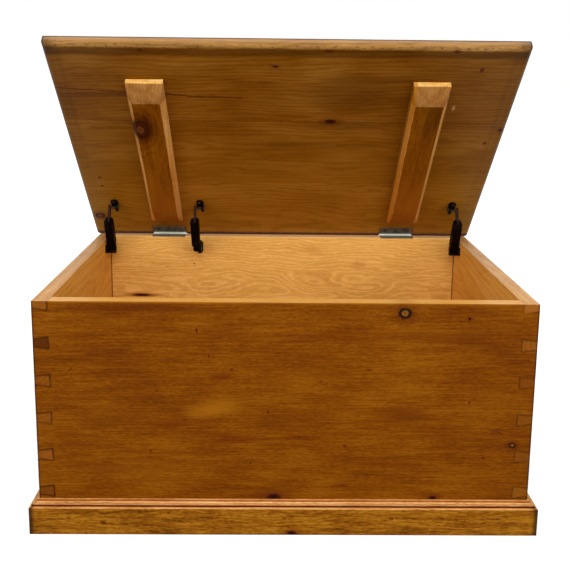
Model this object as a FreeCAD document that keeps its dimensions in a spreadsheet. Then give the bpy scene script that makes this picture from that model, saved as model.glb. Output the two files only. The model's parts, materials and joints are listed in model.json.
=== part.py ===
"""Blanket chest in pine, with a planted plinth, a battened lid and three folding lid stays.

Frame: origin on the ground under the middle of the chest, +X to the right along its length,
+Y to the back, +Z up.  Everything is in millimetres.  The lid stands open at its rest angle.
"""
import FreeCAD, Part
import math
import os
import re
import Sketcher

Vector = FreeCAD.Vector
X_AXIS = Vector(1, 0, 0)
Y_AXIS = Vector(0, 1, 0)
Z_AXIS = Vector(0, 0, 1)

# ------------------------------------------------------------------ driving dimensions

SIZES = [
    # the carcass
    ("chest_length", 860, "outside of the carcass, left to right"),
    ("chest_depth", 586, "outside of the carcass, front to back"),
    ("chest_height", 418, "ground to the rim"),
    ("wall_thick", 27, "carcass boards"),
    ("pin_count", 5, "whole dovetail pins at a corner"),
    ("first_pin_drop", 73, "rim to the centre of the first whole pin"),
    ("last_pin_rise", 55.2, "lower edge of the board to the centre of the last whole pin"),
    ("pin_wide", 22, "pin at the inner face of its board"),
    ("pin_narrow", 14, "pin at the outer face of its board"),
    ("top_pin_wide", 17.5, "half pin at the rim, inner face"),
    ("top_pin_narrow", 11, "half pin at the rim, outer face"),
    ("foot_pin_wide", 10, "half pin at the lower edge, inner face"),
    ("foot_pin_narrow", 6, "half pin at the lower edge, outer face"),
    # the floor
    ("floor_lift", 3, "ground to the underside of the floor boards"),
    ("floor_thick", 16, "floor boards"),
    ("floor_gap", 0.6, "between two floor boards"),
    # the plinth
    ("plinth_height", 60, "ground to the top of the moulding"),
    ("plinth_thick", 15.5, "stands out from the carcass by this"),
    ("fillet_wide", 3.2, "flat top of the moulding"),
    ("fillet_drop", 3, "step down to the curve"),
    ("ogee_wide", 8.6, "curve of the moulding, front to back"),
    ("ogee_drop", 5.8, "curve of the moulding, up and down"),
    ("quirk_drop", 1.6, "step under the curve"),
    # the lid
    ("lid_side_overhang", 11, "lid past the carcass at each end"),
    ("lid_front_overhang", 14, "lid past the carcass at the front"),
    ("lid_back_overhang", 5, "lid past the hinge axis at the back"),
    ("lid_thick", 21, "lid boards"),
    ("lid_gap", 1, "rim to the closed lid"),
    ("lid_front_joint", 402, "hinge axis to the joint behind the front board"),
    ("lid_back_joint", 201, "hinge axis to the joint before the back board"),
    ("lid_inner_round", 9, "rounding of the inner face's front and end edges"),
    ("lid_outer_round", 2, "rounding of the outer face's front and end edges"),
    ("lid_corner_round", 3, "rounding of the corners in plan"),
    ("lid_back_round", 15.5, "rounding of the upper back edge"),
    ("lid_open_angle", 45, "opening at rest, from closed"),
    # the battens
    ("batten_wide", 71, "across"),
    ("batten_thick", 22.6, "stands down from the lid"),
    ("batten_edge", 10.5, "square edge beside the lid"),
    ("batten_side_bevel", 8.4, "long bevels, across"),
    ("batten_end_bevel", 43.6, "sloping front end"),
    ("batten_back_bevel", 54, "sloping back end"),
    ("batten_front", 516, "hinge axis to the front end"),
    ("batten_back", 66.5, "hinge axis to the back end"),
    ("left_batten_inset", 163, "left end of the carcass to the middle of its batten"),
    ("right_batten_inset", 158, "right end of the carcass to the middle of its batten"),
    # the butt hinges
    ("hinge_inset", 163, "end of the carcass to the middle of its hinge"),
    ("hinge_long", 76, "length of the leaves"),
    ("knuckle_count", 5, "knuckles of a hinge"),
    ("leaf_wide", 30.2, "hinge axis to the edge of a leaf"),
    ("leaf_thick", 2, "leaves"),
    ("knuckle_radius", 3, "outside of the knuckles"),
    ("knuckle_clear", 0.2, "knuckles to the back of the chest"),
    ("knuckle_gap", 0.3, "between two knuckles"),
    ("hinge_pin_radius", 1.5, "pin of the hinge"),
    ("pin_clear", 0.05, "a moving part's bore over its pin"),
    ("chest_mortise_clear", 0.4, "mortise in the rim past the leaf"),
    ("lid_mortise_clear", 2, "mortise in the lid past the leaf"),
    ("hinge_screw_spread", 26, "screw to screw along a leaf"),
    ("hinge_screw_inset", 14, "screws to the edge of a leaf"),
    # screws
    ("screw_head_radius", 3.4, "countersunk heads"),
    ("screw_shank_radius", 1.7, "shanks"),
    ("screw_head_depth", 1.8, "countersinks"),
    ("screw_long", 18, "length"),
    ("screw_slot_wide", 0.9, "slot"),
    ("screw_slot_deep", 0.8, "slot"),
    # cut nails
    ("nail_shank", 2.4, "square shank"),
    ("nail_head_wide", 3, "head, across"),
    ("nail_head_long", 6.5, "head, along"),
    ("nail_head_thick", 1.4, "head"),
    ("floor_nail_long", 44, "through the floor into the carcass"),
    ("floor_nail_count", 6, "along each side of the floor"),
    ("plinth_nail_count", 5, "in a long plinth board"),
    ("plinth_end_nail_count", 4, "in a short plinth board"),
    ("plinth_nail_long", 30, "through the plinth into the carcass"),
    ("plinth_nail_rise", 31, "ground to the nails of the plinth"),
    ("batten_nail_long", 39, "through the lid into a batten"),
    ("batten_nail_spread", 34, "nail to nail across a batten"),
    ("batten_nail_inset", 45, "batten nails to the joints"),
    ("batten_nail_back", 60, "batten nails of the back board to the back end"),
    ("batten_nail_front", 25, "batten nails of the front board to its joint"),
    ("batten_nail_end", 50, "batten nails of the front board to the front end"),
    # the lid stays
    ("side_stay_inset", 12, "side board to the middle plane of its stay"),
    ("middle_stay_inset", 231, "left end of the carcass to the third stay"),
    ("stay_base_forward", 40, "back board to the lower pivot"),
    ("stay_base_drop", 20, "rim to the lower pivot"),
    ("stay_foot_along", 118.5, "hinge axis to the upper pivot, along the lid"),
    ("stay_foot_drop", 12, "lid's inner face to the upper pivot"),
    ("housing_span", 74.5, "lower pivot to the elbow"),
    ("housing_half", 9, "middle plane to a face of the housing"),
    ("housing_belly", 12, "half width of the housing at the web"),
    ("housing_mouth", 9, "half width of the housing at the mouth"),
    ("housing_end", 10.5, "housing past the elbow"),
    ("housing_tip_half", 4.5, "middle plane to a face of the housing at its tip"),
    ("housing_tip_long", 5.5, "tapered tip of the housing"),
    ("housing_slope_long", 18, "slanted end of the housing, seen from the side"),
    ("housing_neck", 11, "lower pivot to the full thickness"),
    ("housing_shoulder", 30, "lower pivot to the full width"),
    ("neck_overlap", 1, "neck running on into the body of the housing"),
    ("cover_thick", 1.5, "cover plate of the housing"),
    ("channel_half", 3, "half width of the arm's channel"),
    ("channel_start", 33, "lower pivot to the channel"),
    ("channel_floor", 7.5, "middle line to the floor of the channel"),
    ("eye_half", 5.5, "middle plane to a face of the lower eye"),
    ("eye_radius", 8, "lower eye"),
    ("ear_gap", 0.3, "eye to an ear of its base"),
    ("ear_thick", 2.2, "inner ear of the base"),
    ("ear_radius", 9, "ears of the base"),
    ("web_clear", 1, "ears to the web under the eye"),
    ("base_plate_thick", 2.5, "plate of the base"),
    ("base_plate_long", 46, "plate of a side base"),
    ("base_plate_tall", 18, "plate of a side base"),
    ("base_screw_spread", 33, "screw to screw on a side base"),
    ("middle_plate_wide", 16, "plate of the middle base"),
    ("middle_plate_tall", 31, "plate of the middle base"),
    ("middle_plate_drop", 5, "lower pivot to the middle of that plate"),
    ("middle_plate_corner", 5, "corners cut off that plate"),
    ("middle_screw_spread", 20, "screw to screw on the middle base"),
    ("middle_lug_thick", 4.6, "lug of the middle base"),
    ("middle_lug_inset", 2, "lug to the edge of the middle plate"),
    ("base_pin_radius", 2.5, "lower pivot"),
    ("rivet_head_radius", 4.5, "heads of the pivots"),
    ("rivet_head_thick", 1.4, "heads of the pivots"),
    ("rivet_play", 0.1, "head to the eye that turns against it"),
    ("elbow_pin_radius", 2.5, "elbow"),
    ("spring_radius", 6.6, "disc springs at the elbow"),
    ("spring_thick", 1.1, "one disc spring"),
    ("spring_count", 2, "disc springs at an elbow"),
    ("spring_play", 0.1, "disc spring to its neighbour"),
    ("arm_span", 32.5, "elbow to the upper pivot"),
    ("arm_half", 2.5, "half thickness of the arm"),
    ("arm_wide", 11, "width of the arm"),
    ("arm_elbow_radius", 7, "eye of the arm at the elbow"),
    ("arm_foot_radius", 5.8, "eye of the arm at the lid"),
    ("foot_pin_radius", 2, "upper pivot"),
    ("foot_pin_play", 4.2, "play of the upper pivot in its lug"),
    ("foot_pin_head", 7, "head of the upper pivot"),
    ("foot_plate_near", 2.8, "middle plane to the foot plate"),
    ("foot_plate_wide", 15.5, "foot plate, across"),
    ("foot_plate_long", 31, "foot plate, along the lid"),
    ("foot_plate_thick", 3.5, "foot plate"),
    ("foot_plate_corner", 4.5, "corners cut off the foot plate"),
    ("foot_lug_thick", 3.8, "lug"),
    ("foot_lug_radius", 8.6, "round end of the lug"),
    ("foot_stem_half", 6.4, "half width of the lug at the plate"),
    ("foot_screw_spread", 19, "screw to screw on the foot plate"),
    ("foot_screw_at", 9, "middle plane to the screws of the foot plate"),
]

doc = FreeCAD.newDocument("blanket_chest")
sheet = doc.addObject("Spreadsheet::Sheet", "sizes")
for row, (alias, number, note) in enumerate(SIZES, start=1):
    sheet.set(f"A{row}", alias)
    sheet.set(f"B{row}", str(number))
    sheet.set(f"C{row}", note)
    sheet.setAlias(f"B{row}", alias)
doc.recompute()

# ------------------------------------------------------------------ lengths that follow from them

CARCASS_FOOT = "(floor_lift + floor_thick)"
CARCASS_TALL = f"(chest_height - {CARCASS_FOOT})"
AXIS_BACK = "(chest_depth / 2 + knuckle_radius + knuckle_clear)"
AXIS_RISE = "(chest_height + lid_gap / 2)"
LID_BACK = "(0 - lid_back_overhang)"
LID_FRONT = "(knuckle_radius + knuckle_clear + chest_depth + lid_front_overhang)"
LID_HALF = "(chest_length / 2 + lid_side_overhang)"
BASE_Y = "(chest_depth / 2 - wall_thick - stay_base_forward)"
BASE_Z = "(chest_height - stay_base_drop)"
SIDE_PLANE = "(chest_length / 2 - wall_thick - side_stay_inset)"
MIDDLE_PLANE = "(middle_stay_inset - chest_length / 2)"
LEFT_BATTEN = "(left_batten_inset - chest_length / 2)"
RIGHT_BATTEN = "(chest_length / 2 - right_batten_inset)"
LEFT_HINGE = "(hinge_inset - chest_length / 2)"
RIGHT_HINGE = "(chest_length / 2 - hinge_inset)"
OUTER_CHEEK = "(0 - housing_half)"
INNER_CHEEK = "(housing_half - cover_thick)"
MIDDLE_LUG_FAR = "(eye_half + ear_gap + middle_lug_thick)"
MIDDLE_PLATE_EDGE = f"({MIDDLE_LUG_FAR} + middle_lug_inset - middle_plate_wide)"
FOOT_PLATE_FAR = "(foot_plate_near + foot_plate_wide)"


def linked(text):
    """The same expression with every alias looked up in the sheet."""
    return re.sub(r"\b[a-z]+(?:_[a-z]+)+\b", lambda found: "sizes." + found.group(0), text)


def size(text):
    """The value of an expression in the aliases, as a plain number."""
    return float(sheet.evalExpression(linked(text)))


# ------------------------------------------------------------------ helpers for bodies and sketches

def new_body(name):
    body = doc.addObject("PartDesign::Body", name)
    body.Label = name
    return body


def new_sketch(body, role, level):
    """A sketch on one of the body's own origin planes, moved along the plane's normal."""
    sketch = body.newObject("Sketcher::SketchObject", body.Name + "_sketch")
    plane = next(part for part in body.Origin.OriginFeatures if part.Role == role)
    sketch.AttachmentSupport = [(plane, "")]
    sketch.MapMode = "FlatFace"
    sketch.setExpression("AttachmentOffset.Base.z", linked(level))
    return sketch


def tie_point(sketch, line, end, across, up):
    """Hold one end of a line, or the centre of a circle, at a place given by the sheet."""
    for kind, text in (("DistanceX", across), ("DistanceY", up)):
        rule = Sketcher.Constraint(kind, -1, 1, line, end, size(text))
        index = sketch.addConstraint(rule)
        sketch.setExpression(f"Constraints[{index}]", linked(text))


def draw_outline(sketch, corners):
    """A closed outline of straight lines through the corners."""
    points = [Vector(size(across), size(up), 0) for across, up in corners]
    first = sketch.GeometryCount
    count = len(points)
    for index in range(count):
        sketch.addGeometry(Part.LineSegment(points[index], points[(index + 1) % count]))
    for index in range(count):
        after = first + (index + 1) % count
        sketch.addConstraint(Sketcher.Constraint("Coincident", first + index, 2, after, 1))
    for index, (across, up) in enumerate(corners):
        tie_point(sketch, first + index, 1, across, up)


def draw_circle(sketch, across, up, radius):
    centre = Vector(size(across), size(up), 0)
    line = sketch.addGeometry(Part.Circle(centre, Z_AXIS, size(radius)))
    tie_point(sketch, line, 3, across, up)
    index = sketch.addConstraint(Sketcher.Constraint("Radius", line, size(radius)))
    sketch.setExpression(f"Constraints[{index}]", linked(radius))


def box_corners(left, right, low, high):
    return [(left, low), (right, low), (right, high), (left, high)]


def add_pad(body, role, level, length, outlines=(), circles=()):
    """Pad the outlines from the level, along the plane's normal."""
    sketch = new_sketch(body, role, level)
    for corners in outlines:
        draw_outline(sketch, corners)
    for across, up, radius in circles:
        draw_circle(sketch, across, up, radius)
    pad = body.newObject("PartDesign::Pad", body.Name + "_pad")
    pad.Profile = sketch
    pad.setExpression("Length", linked(length))
    doc.recompute()
    return pad


def add_pocket(body, role, level, length, outlines=(), circles=()):
    """Pocket the outlines from the level, against the plane's normal."""
    before = body.Shape.Volume
    sketch = new_sketch(body, role, level)
    for corners in outlines:
        draw_outline(sketch, corners)
    for across, up, radius in circles:
        draw_circle(sketch, across, up, radius)
    pocket = body.newObject("PartDesign::Pocket", body.Name + "_pocket")
    pocket.Profile = sketch
    pocket.setExpression("Length", linked(length))
    doc.recompute()
    if body.Shape.Volume >= before:
        raise RuntimeError(f"a pocket of {body.Name} removes nothing")
    return pocket


def add_box(name, left, front, low, long, deep, tall):
    """A Part box from its lowest corner and its three sizes."""
    box = doc.addObject("Part::Box", name)
    corner = (("x", left), ("y", front), ("z", low))
    for axis, text in corner:
        box.setExpression(f"Placement.Base.{axis}", linked(text))
    for side, text in (("Length", long), ("Width", deep), ("Height", tall)):
        box.setExpression(side, linked(text))
    return box


def add_group(name, links):
    group = doc.addObject("Part::Compound", name)
    group.Links = links
    return group


def cut_away(name, base, tools):
    """The base without the tools, as an object of its own."""
    cut = doc.addObject("Part::Cut", name)
    cut.Base = base
    cut.Tool = add_group(name + "_tools", tools)
    cut.Label = name
    return cut


def add_solids(name, solids):
    """Separate solids that share one node."""
    feature = doc.addObject("Part::Feature", name)
    feature.Shape = Part.makeCompound(solids)
    feature.Label = name
    return feature


def hang_on_lid(thing):
    """Turn a piece that is drawn on the closed lid, with the hinge axis as origin."""
    thing.setExpression("Placement.Base.y", linked(AXIS_BACK))
    thing.setExpression("Placement.Base.z", linked(AXIS_RISE))
    thing.Placement = FreeCAD.Placement(thing.Placement.Base, FreeCAD.Rotation(X_AXIS, -1))
    thing.setExpression("Placement.Rotation.Angle", linked("0 - lid_open_angle"))
    return thing


# ------------------------------------------------------------------ nails and screws

FIRST_SLOT_TURN = 20.0
SLOT_TURN_STEP = 47.0


def nail_solid(length):
    """A cut nail that points down, with the top of its head at the origin."""
    head_long = size("nail_head_long")
    head_wide = size("nail_head_wide")
    head_thick = size("nail_head_thick")
    shank = size("nail_shank")
    corner = Vector(-head_long / 2, -head_wide / 2, -head_thick)
    head = Part.makeBox(head_long, head_wide, head_thick, corner)
    stem = Part.makeBox(shank, shank, length, Vector(-shank / 2, -shank / 2, -length))
    return head.fuse(stem).removeSplitter()


def screw_solid(slotted):
    """A countersunk screw that points down, with the top of its head at the origin."""
    head_radius = size("screw_head_radius")
    shank_radius = size("screw_shank_radius")
    depth = size("screw_head_depth")
    length = size("screw_long")
    tip_long = shank_radius * 2
    head = Part.makeCone(shank_radius, head_radius, depth, Vector(0, 0, -depth))
    shank = Part.makeCylinder(shank_radius, length - depth - tip_long, Vector(0, 0, tip_long - length))
    tip = Part.makeCone(0, shank_radius, tip_long, Vector(0, 0, -length))
    solid = head.fuse([shank, tip]).removeSplitter()
    if not slotted:
        return solid
    wide = size("screw_slot_wide")
    deep = size("screw_slot_deep")
    slot = Part.makeBox(head_radius * 2, wide, deep, Vector(-head_radius, -wide / 2, -deep))
    return solid.cut(slot)


def placed(solid, place, points, turn=0.0):
    """A copy of a fastener at a place, pointing along a direction, its slot turned a little."""
    copy = solid.copy()
    aim = FreeCAD.Rotation(Vector(0, 0, -1), points)
    copy.Placement = FreeCAD.Placement(place, aim.multiply(FreeCAD.Rotation(Z_AXIS, turn)))
    return copy


def add_screws(name, places, points):
    """A node of screws, and the object that cuts their holes."""
    turns = [FIRST_SLOT_TURN + SLOT_TURN_STEP * index for index in range(len(places))]
    screws = []
    holes = []
    for place, point, turn in zip(places, points, turns):
        screws.append(placed(screw_solid(True), place, point, turn))
        holes.append(placed(screw_solid(False), place, point))
    return add_solids(name, screws), add_solids(name + "_holes", holes)


def spread(count, reach):
    """Evenly spaced places from -reach to +reach."""
    return [reach * (2.0 * index / (count - 1) - 1.0) for index in range(count)]


def floor_nail_places():
    """Up through the floor boards into the lower edges of the carcass."""
    level = size("floor_lift")
    long_row = size("chest_length / 2 - wall_thick * 3")
    end_row = size("chest_depth / 2 - wall_thick * 3")
    row_y = size("(chest_depth - wall_thick) / 2")
    row_x = size("(chest_length - wall_thick) / 2")
    count = round(size("floor_nail_count"))
    places = [Vector(x, y, level) for y in (-row_y, row_y) for x in spread(count, long_row)]
    places += [Vector(x, y, level) for x in (-row_x, row_x) for y in spread(count, end_row)]
    return places


def plinth_nail_places():
    """Level nails through the plinth boards, with the way that each one points."""
    level = size("plinth_nail_rise")
    face_y = size("chest_depth / 2 + plinth_thick")
    face_x = size("chest_length / 2 + plinth_thick")
    long_row = size("chest_length / 2 - wall_thick * 2")
    end_row = size("chest_depth / 2 - wall_thick * 2")
    long_spots = spread(round(size("plinth_nail_count")), long_row)
    end_spots = spread(round(size("plinth_end_nail_count")), end_row)
    places = []
    for side in (-1, 1):
        inward = -side
        places += [(Vector(x, side * face_y, level), Y_AXIS * inward) for x in long_spots]
        places += [(Vector(side * face_x, y, level), X_AXIS * inward) for y in end_spots]
    return places


def batten_nail_places():
    """Down through the closed lid, two to a board, into both battens."""
    level = size("lid_gap / 2 + lid_thick")
    half = size("batten_nail_spread / 2")
    rows = ["batten_back + batten_nail_back", "lid_back_joint - batten_nail_inset"]
    rows += ["lid_back_joint + batten_nail_inset", "lid_front_joint - batten_nail_inset"]
    rows += ["lid_front_joint + batten_nail_front", "batten_front - batten_nail_end"]
    places = []
    for middle in (size(LEFT_BATTEN), size(RIGHT_BATTEN)):
        for index, row in enumerate(rows):
            shift = half if index % 2 else -half
            places.append(Vector(middle + shift, -size(row), level))
    return places


# ------------------------------------------------------------------ the carcass

def pin_outline(outer, inner, middle, wide, narrow):
    """One pin seen from the front: narrow at the outer face, wide at the inner face."""
    return [
        (outer, f"{middle} - {narrow} / 2"),
        (inner, f"{middle} - {wide} / 2"),
        (inner, f"{middle} + {wide} / 2"),
        (outer, f"{middle} + {narrow} / 2"),
    ]


def half_pin_outline(outer, inner, edge, wide, narrow, way):
    """A half pin against the upper or the lower edge of the board."""
    return [
        (outer, edge),
        (inner, edge),
        (inner, f"{edge} {way} {wide}"),
        (outer, f"{edge} {way} {narrow}"),
    ]


def tail_board(name, front_face):
    """Front or back board: the sockets between its tails are open to both faces."""
    body = new_body(name + "_blank")
    outside = box_corners("0 - chest_length / 2", "chest_length / 2", CARCASS_FOOT, "chest_height")
    add_pad(body, "XZ_Plane", f"0 - ({front_face} + wall_thick)", "wall_thick", [outside])
    corners = []
    halves = []
    for side in ("0 -", "0 +"):
        outer = f"{side} chest_length / 2"
        inner = f"{side} (chest_length / 2 - wall_thick)"
        first = "(chest_height - first_pin_drop)"
        corners.append(pin_outline(outer, inner, first, "pin_wide", "pin_narrow"))
        top = ("chest_height", "top_pin_wide", "top_pin_narrow", "-")
        foot = (CARCASS_FOOT, "foot_pin_wide", "foot_pin_narrow", "+")
        for edge, wide, narrow, way in (top, foot):
            halves.append(half_pin_outline(outer, inner, edge, wide, narrow, way))
    level = f"0 - {front_face}"
    add_pocket(body, "XZ_Plane", level, "wall_thick", halves)
    sockets = add_pocket(body, "XZ_Plane", level, "wall_thick", corners)
    pattern = body.newObject("PartDesign::LinearPattern", name + "_pattern")
    pattern.Originals = [sockets]
    pattern.Direction = (sockets.Profile[0], ["V_Axis"])
    pattern.Reversed = True
    pattern.setExpression("Length", linked(f"{CARCASS_TALL} - first_pin_drop - last_pin_rise"))
    pattern.setExpression("Occurrences", linked("pin_count"))
    body.Tip = pattern
    doc.recompute()
    return body


def side_blank(name, left):
    """A side board before its ends are cut: the tail boards leave its pins standing."""
    where = (left, "0 - chest_depth / 2", CARCASS_FOOT)
    return add_box(name, *where, "wall_thick", "chest_depth", CARCASS_TALL)


def floor_board(name, order):
    """One of three floor boards, laid along the chest under the carcass."""
    wide = "((chest_depth - 2 * floor_gap) / 3)"
    front = f"0 - chest_depth / 2 + {order} * ({wide} + floor_gap)"
    return add_box(name, "0 - chest_length / 2", front, "floor_lift", "chest_length", wide, "floor_thick")


# ------------------------------------------------------------------ the plinth

def ogee_edges():
    """The moulded outline of a plinth board, seen along the board, carcass at y = 0."""
    top = size("plinth_height")
    wide = size("fillet_wide")
    step = top - size("fillet_drop")
    curve_y = wide + size("ogee_wide")
    curve_z = step - size("ogee_drop")
    face = size("plinth_thick")
    face_z = curve_z - size("quirk_drop")
    mid = Vector(0, -(wide + curve_y) / 2, (step + curve_z) / 2)
    start = Vector(0, -wide, step)
    finish = Vector(0, -curve_y, curve_z)
    sag = (finish - start).cross(X_AXIS).normalize() * (size("ogee_drop") / 4)
    hollow = (start + mid) / 2 - sag
    swell = (mid + finish) / 2 + sag
    softened = size("quirk_drop") / 2
    line = [Vector(0, 0, 0), Vector(0, 0, top), Vector(0, -wide, top), start]
    rest = [finish, Vector(0, -curve_y, face_z), Vector(0, -(face - softened), face_z)]
    rest += [Vector(0, -face, face_z - softened), Vector(0, -face, 0), Vector(0, 0, 0)]
    edges = [Part.LineSegment(a, b).toShape() for a, b in zip(line, line[1:])]
    edges += [Part.Arc(start, hollow, mid).toShape(), Part.Arc(mid, swell, finish).toShape()]
    edges += [Part.LineSegment(a, b).toShape() for a, b in zip(rest, rest[1:])]
    return edges


def plinth_board(name, run, reach, angle):
    """A mitred board of the plinth: run along the carcass, reach from its middle to the face."""
    long = size(run)
    thick = size("plinth_thick")
    section = Part.Face(Part.Wire(ogee_edges()))
    section.translate(Vector(-long / 2 - thick, 0, 0))
    bar = section.extrude(Vector(long + 2 * thick, 0, 0))
    for end in (-1, 1):
        inner = Vector(end * long / 2, 0, 0)
        corner = Vector(end * (long / 2 + thick), 0, 0)
        outer = Vector(end * (long / 2 + thick), -thick, 0)
        wedge = Part.Face(Part.makePolygon([inner, corner, outer, inner]))
        bar = bar.cut(wedge.extrude(Vector(0, 0, size("plinth_height"))))
    board = doc.addObject("Part::Feature", name + "_blank")
    board.Shape = bar
    turn = FreeCAD.Rotation(Z_AXIS, angle)
    board.Placement = FreeCAD.Placement(turn.multVec(Vector(0, -size(reach), 0)), turn)
    return board


# ------------------------------------------------------------------ the lid

def lid_blank():
    """The whole lid before it is parted into boards, drawn closed about the hinge axis."""
    body = new_body("lid_blank")
    outside = box_corners(f"0 - {LID_HALF}", LID_HALF, f"0 - {LID_FRONT}", f"0 - {LID_BACK}")
    pad = add_pad(body, "XY_Plane", "lid_gap / 2", "lid_thick", [outside])
    front = -size(LID_FRONT)
    back = -size(LID_BACK)
    inner = size("lid_gap / 2")
    outer = size("lid_gap / 2 + lid_thick")

    def at(edge, y, z):
        return abs(edge.CenterOfMass.y - y) < 0.01 and abs(edge.CenterOfMass.z - z) < 0.01

    def corner_edges(edge):
        upright = edge.Length < size("lid_thick") + 0.01
        return upright and abs(edge.CenterOfMass.y - front) < 0.01

    def face_edges(level):
        def chosen(edge):
            flat = edge.BoundBox.ZLength < 0.01 and abs(edge.CenterOfMass.z - level) < 0.01
            return flat and (edge.BoundBox.YLength > 0.01 or at(edge, front, level))
        return chosen

    steps = [
        ("lid_back_round", lambda edge: at(edge, back, outer)),
        ("lid_corner_round", corner_edges),
        ("lid_inner_round", face_edges(inner)),
        ("lid_outer_round", face_edges(outer)),
    ]
    latest = pad
    for radius, chosen in steps:
        edges = [f"Edge{index}" for index, edge in enumerate(latest.Shape.Edges, start=1) if chosen(edge)]
        fillet = body.newObject("PartDesign::Fillet", radius + "_fillet")
        fillet.Base = (latest, edges)
        fillet.setExpression("Radius", linked(radius))
        body.Tip = fillet
        doc.recompute()
        latest = fillet
    return body


def lid_slice(name, whole, near, far):
    """The stretch of the lid between two distances from the hinge axis."""
    slab_deep = f"({far} - {near})"
    slab = add_box(name + "_slab", f"0 - {LID_HALF}", f"0 - {far}", "0", f"2 * {LID_HALF}", slab_deep,
                   "2 * lid_thick")
    part = doc.addObject("Part::Common", name + "_plain")
    part.Base = whole
    part.Tool = slab
    return part


def batten(name, middle):
    """A batten under the closed lid, bevelled along both sides and at both ends."""
    body = new_body(name + "_blank")
    low = "lid_gap / 2 - batten_thick"
    edge = "lid_gap / 2 - batten_edge"
    half = "batten_wide / 2"
    section = [
        (f"{middle} - {half}", "lid_gap / 2"),
        (f"{middle} - {half}", edge),
        (f"{middle} - {half} + batten_side_bevel", low),
        (f"{middle} + {half} - batten_side_bevel", low),
        (f"{middle} + {half}", edge),
        (f"{middle} + {half}", "lid_gap / 2"),
    ]
    add_pad(body, "XZ_Plane", "batten_back", "batten_front - batten_back", [section])
    front_slope = [
        ("0 - batten_front", edge),
        ("0 - batten_front + batten_end_bevel", low),
        ("0 - batten_front", low),
    ]
    back_slope = [
        ("0 - batten_back", edge),
        ("0 - batten_back - batten_back_bevel", low),
        ("0 - batten_back", low),
    ]
    add_pocket(body, "YZ_Plane", f"{middle} + batten_wide", "2 * batten_wide", [front_slope, back_slope])
    return body


# ------------------------------------------------------------------ the hinges

def knuckle_zone(order):
    """Start and length of one of the knuckles, from the left end of the hinge."""
    pitch = "(hinge_long / knuckle_count)"
    start = f"(0 - hinge_long / 2 + {order} * {pitch} + knuckle_gap / 2)"
    return start, f"({pitch} - knuckle_gap)"


def hinge_leaf(name, middle, side, knuckles, bore):
    """A leaf with its knuckles, drawn about the hinge axis.  side is -1 below, +1 above."""
    body = new_body(name + "_blank")
    level = "lid_gap / 2" if side > 0 else "0 - lid_gap / 2 - leaf_thick"
    relief = "(knuckle_radius + knuckle_gap)"
    plate = box_corners(f"{middle} - hinge_long / 2", f"{middle} + hinge_long / 2", "0 - leaf_wide",
                        f"0 - {relief}")
    add_pad(body, "XY_Plane", level, "leaf_thick", [plate])
    for order in knuckles:
        start, length = knuckle_zone(order)
        tongue = box_corners(f"{middle} + {start}", f"{middle} + {start} + {length}",
                             f"0 - {relief}", "0")
        add_pad(body, "XY_Plane", level, "leaf_thick", [tongue])
        add_pad(body, "YZ_Plane", f"{middle} + {start}", length, (), [("0", "0", "knuckle_radius")])
    add_pocket(body, "YZ_Plane", f"{middle} + hinge_long", "2 * hinge_long", (), [("0", "0", bore)])
    return body


def hinge_pin(name, middle):
    pin = doc.addObject("Part::Cylinder", name)
    pin.setExpression("Radius", linked("hinge_pin_radius"))
    pin.setExpression("Height", linked("hinge_long"))
    pin.Placement = FreeCAD.Placement(Vector(0, 0, 0), FreeCAD.Rotation(Y_AXIS, 90))
    pin.setExpression("Placement.Base.x", linked(f"{middle} - hinge_long / 2"))
    pin.setExpression("Placement.Base.y", linked(AXIS_BACK))
    pin.setExpression("Placement.Base.z", linked(AXIS_RISE))
    return pin


def leaf_mortise(name, middle, side, clear):
    """The recess for a leaf, drawn about the hinge axis, out past the back edge."""
    level = "lid_gap / 2" if side > 0 else "0 - lid_gap / 2 - leaf_thick"
    left = f"{middle} - hinge_long / 2 - {clear}"
    return add_box(name, left, "0 - leaf_wide", level, f"hinge_long + 2 * {clear}", "leaf_wide",
                   "leaf_thick")


def barrel_notch(name, middle):
    """Room for the knuckles in the back edge of the closed lid, drawn about the hinge axis."""
    relief = "(knuckle_radius + knuckle_gap)"
    left = f"{middle} - hinge_long / 2 - lid_mortise_clear"
    return add_box(name, left, f"0 - {relief}", "lid_gap / 2", "hinge_long + 2 * lid_mortise_clear",
                   f"{relief} + lid_back_overhang", f"{relief} - lid_gap / 2")


def leaf_screw_places(side):
    """Three screws in a row in each leaf, drawn about the hinge axis."""
    row = -size("leaf_wide - hinge_screw_inset")
    level = side * size("lid_gap / 2")
    gap = size("hinge_screw_spread")
    middles = (size(LEFT_HINGE), size(RIGHT_HINGE))
    return [Vector(middle + step * gap, row, level) for middle in middles for step in (-1, 0, 1)]


def hang_on_axis(thing):
    """Carry a piece of the chest that is drawn about the hinge axis to that axis."""
    thing.setExpression("Placement.Base.y", linked(AXIS_BACK))
    thing.setExpression("Placement.Base.z", linked(AXIS_RISE))
    return thing


# ------------------------------------------------------------------ the lid stays

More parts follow.
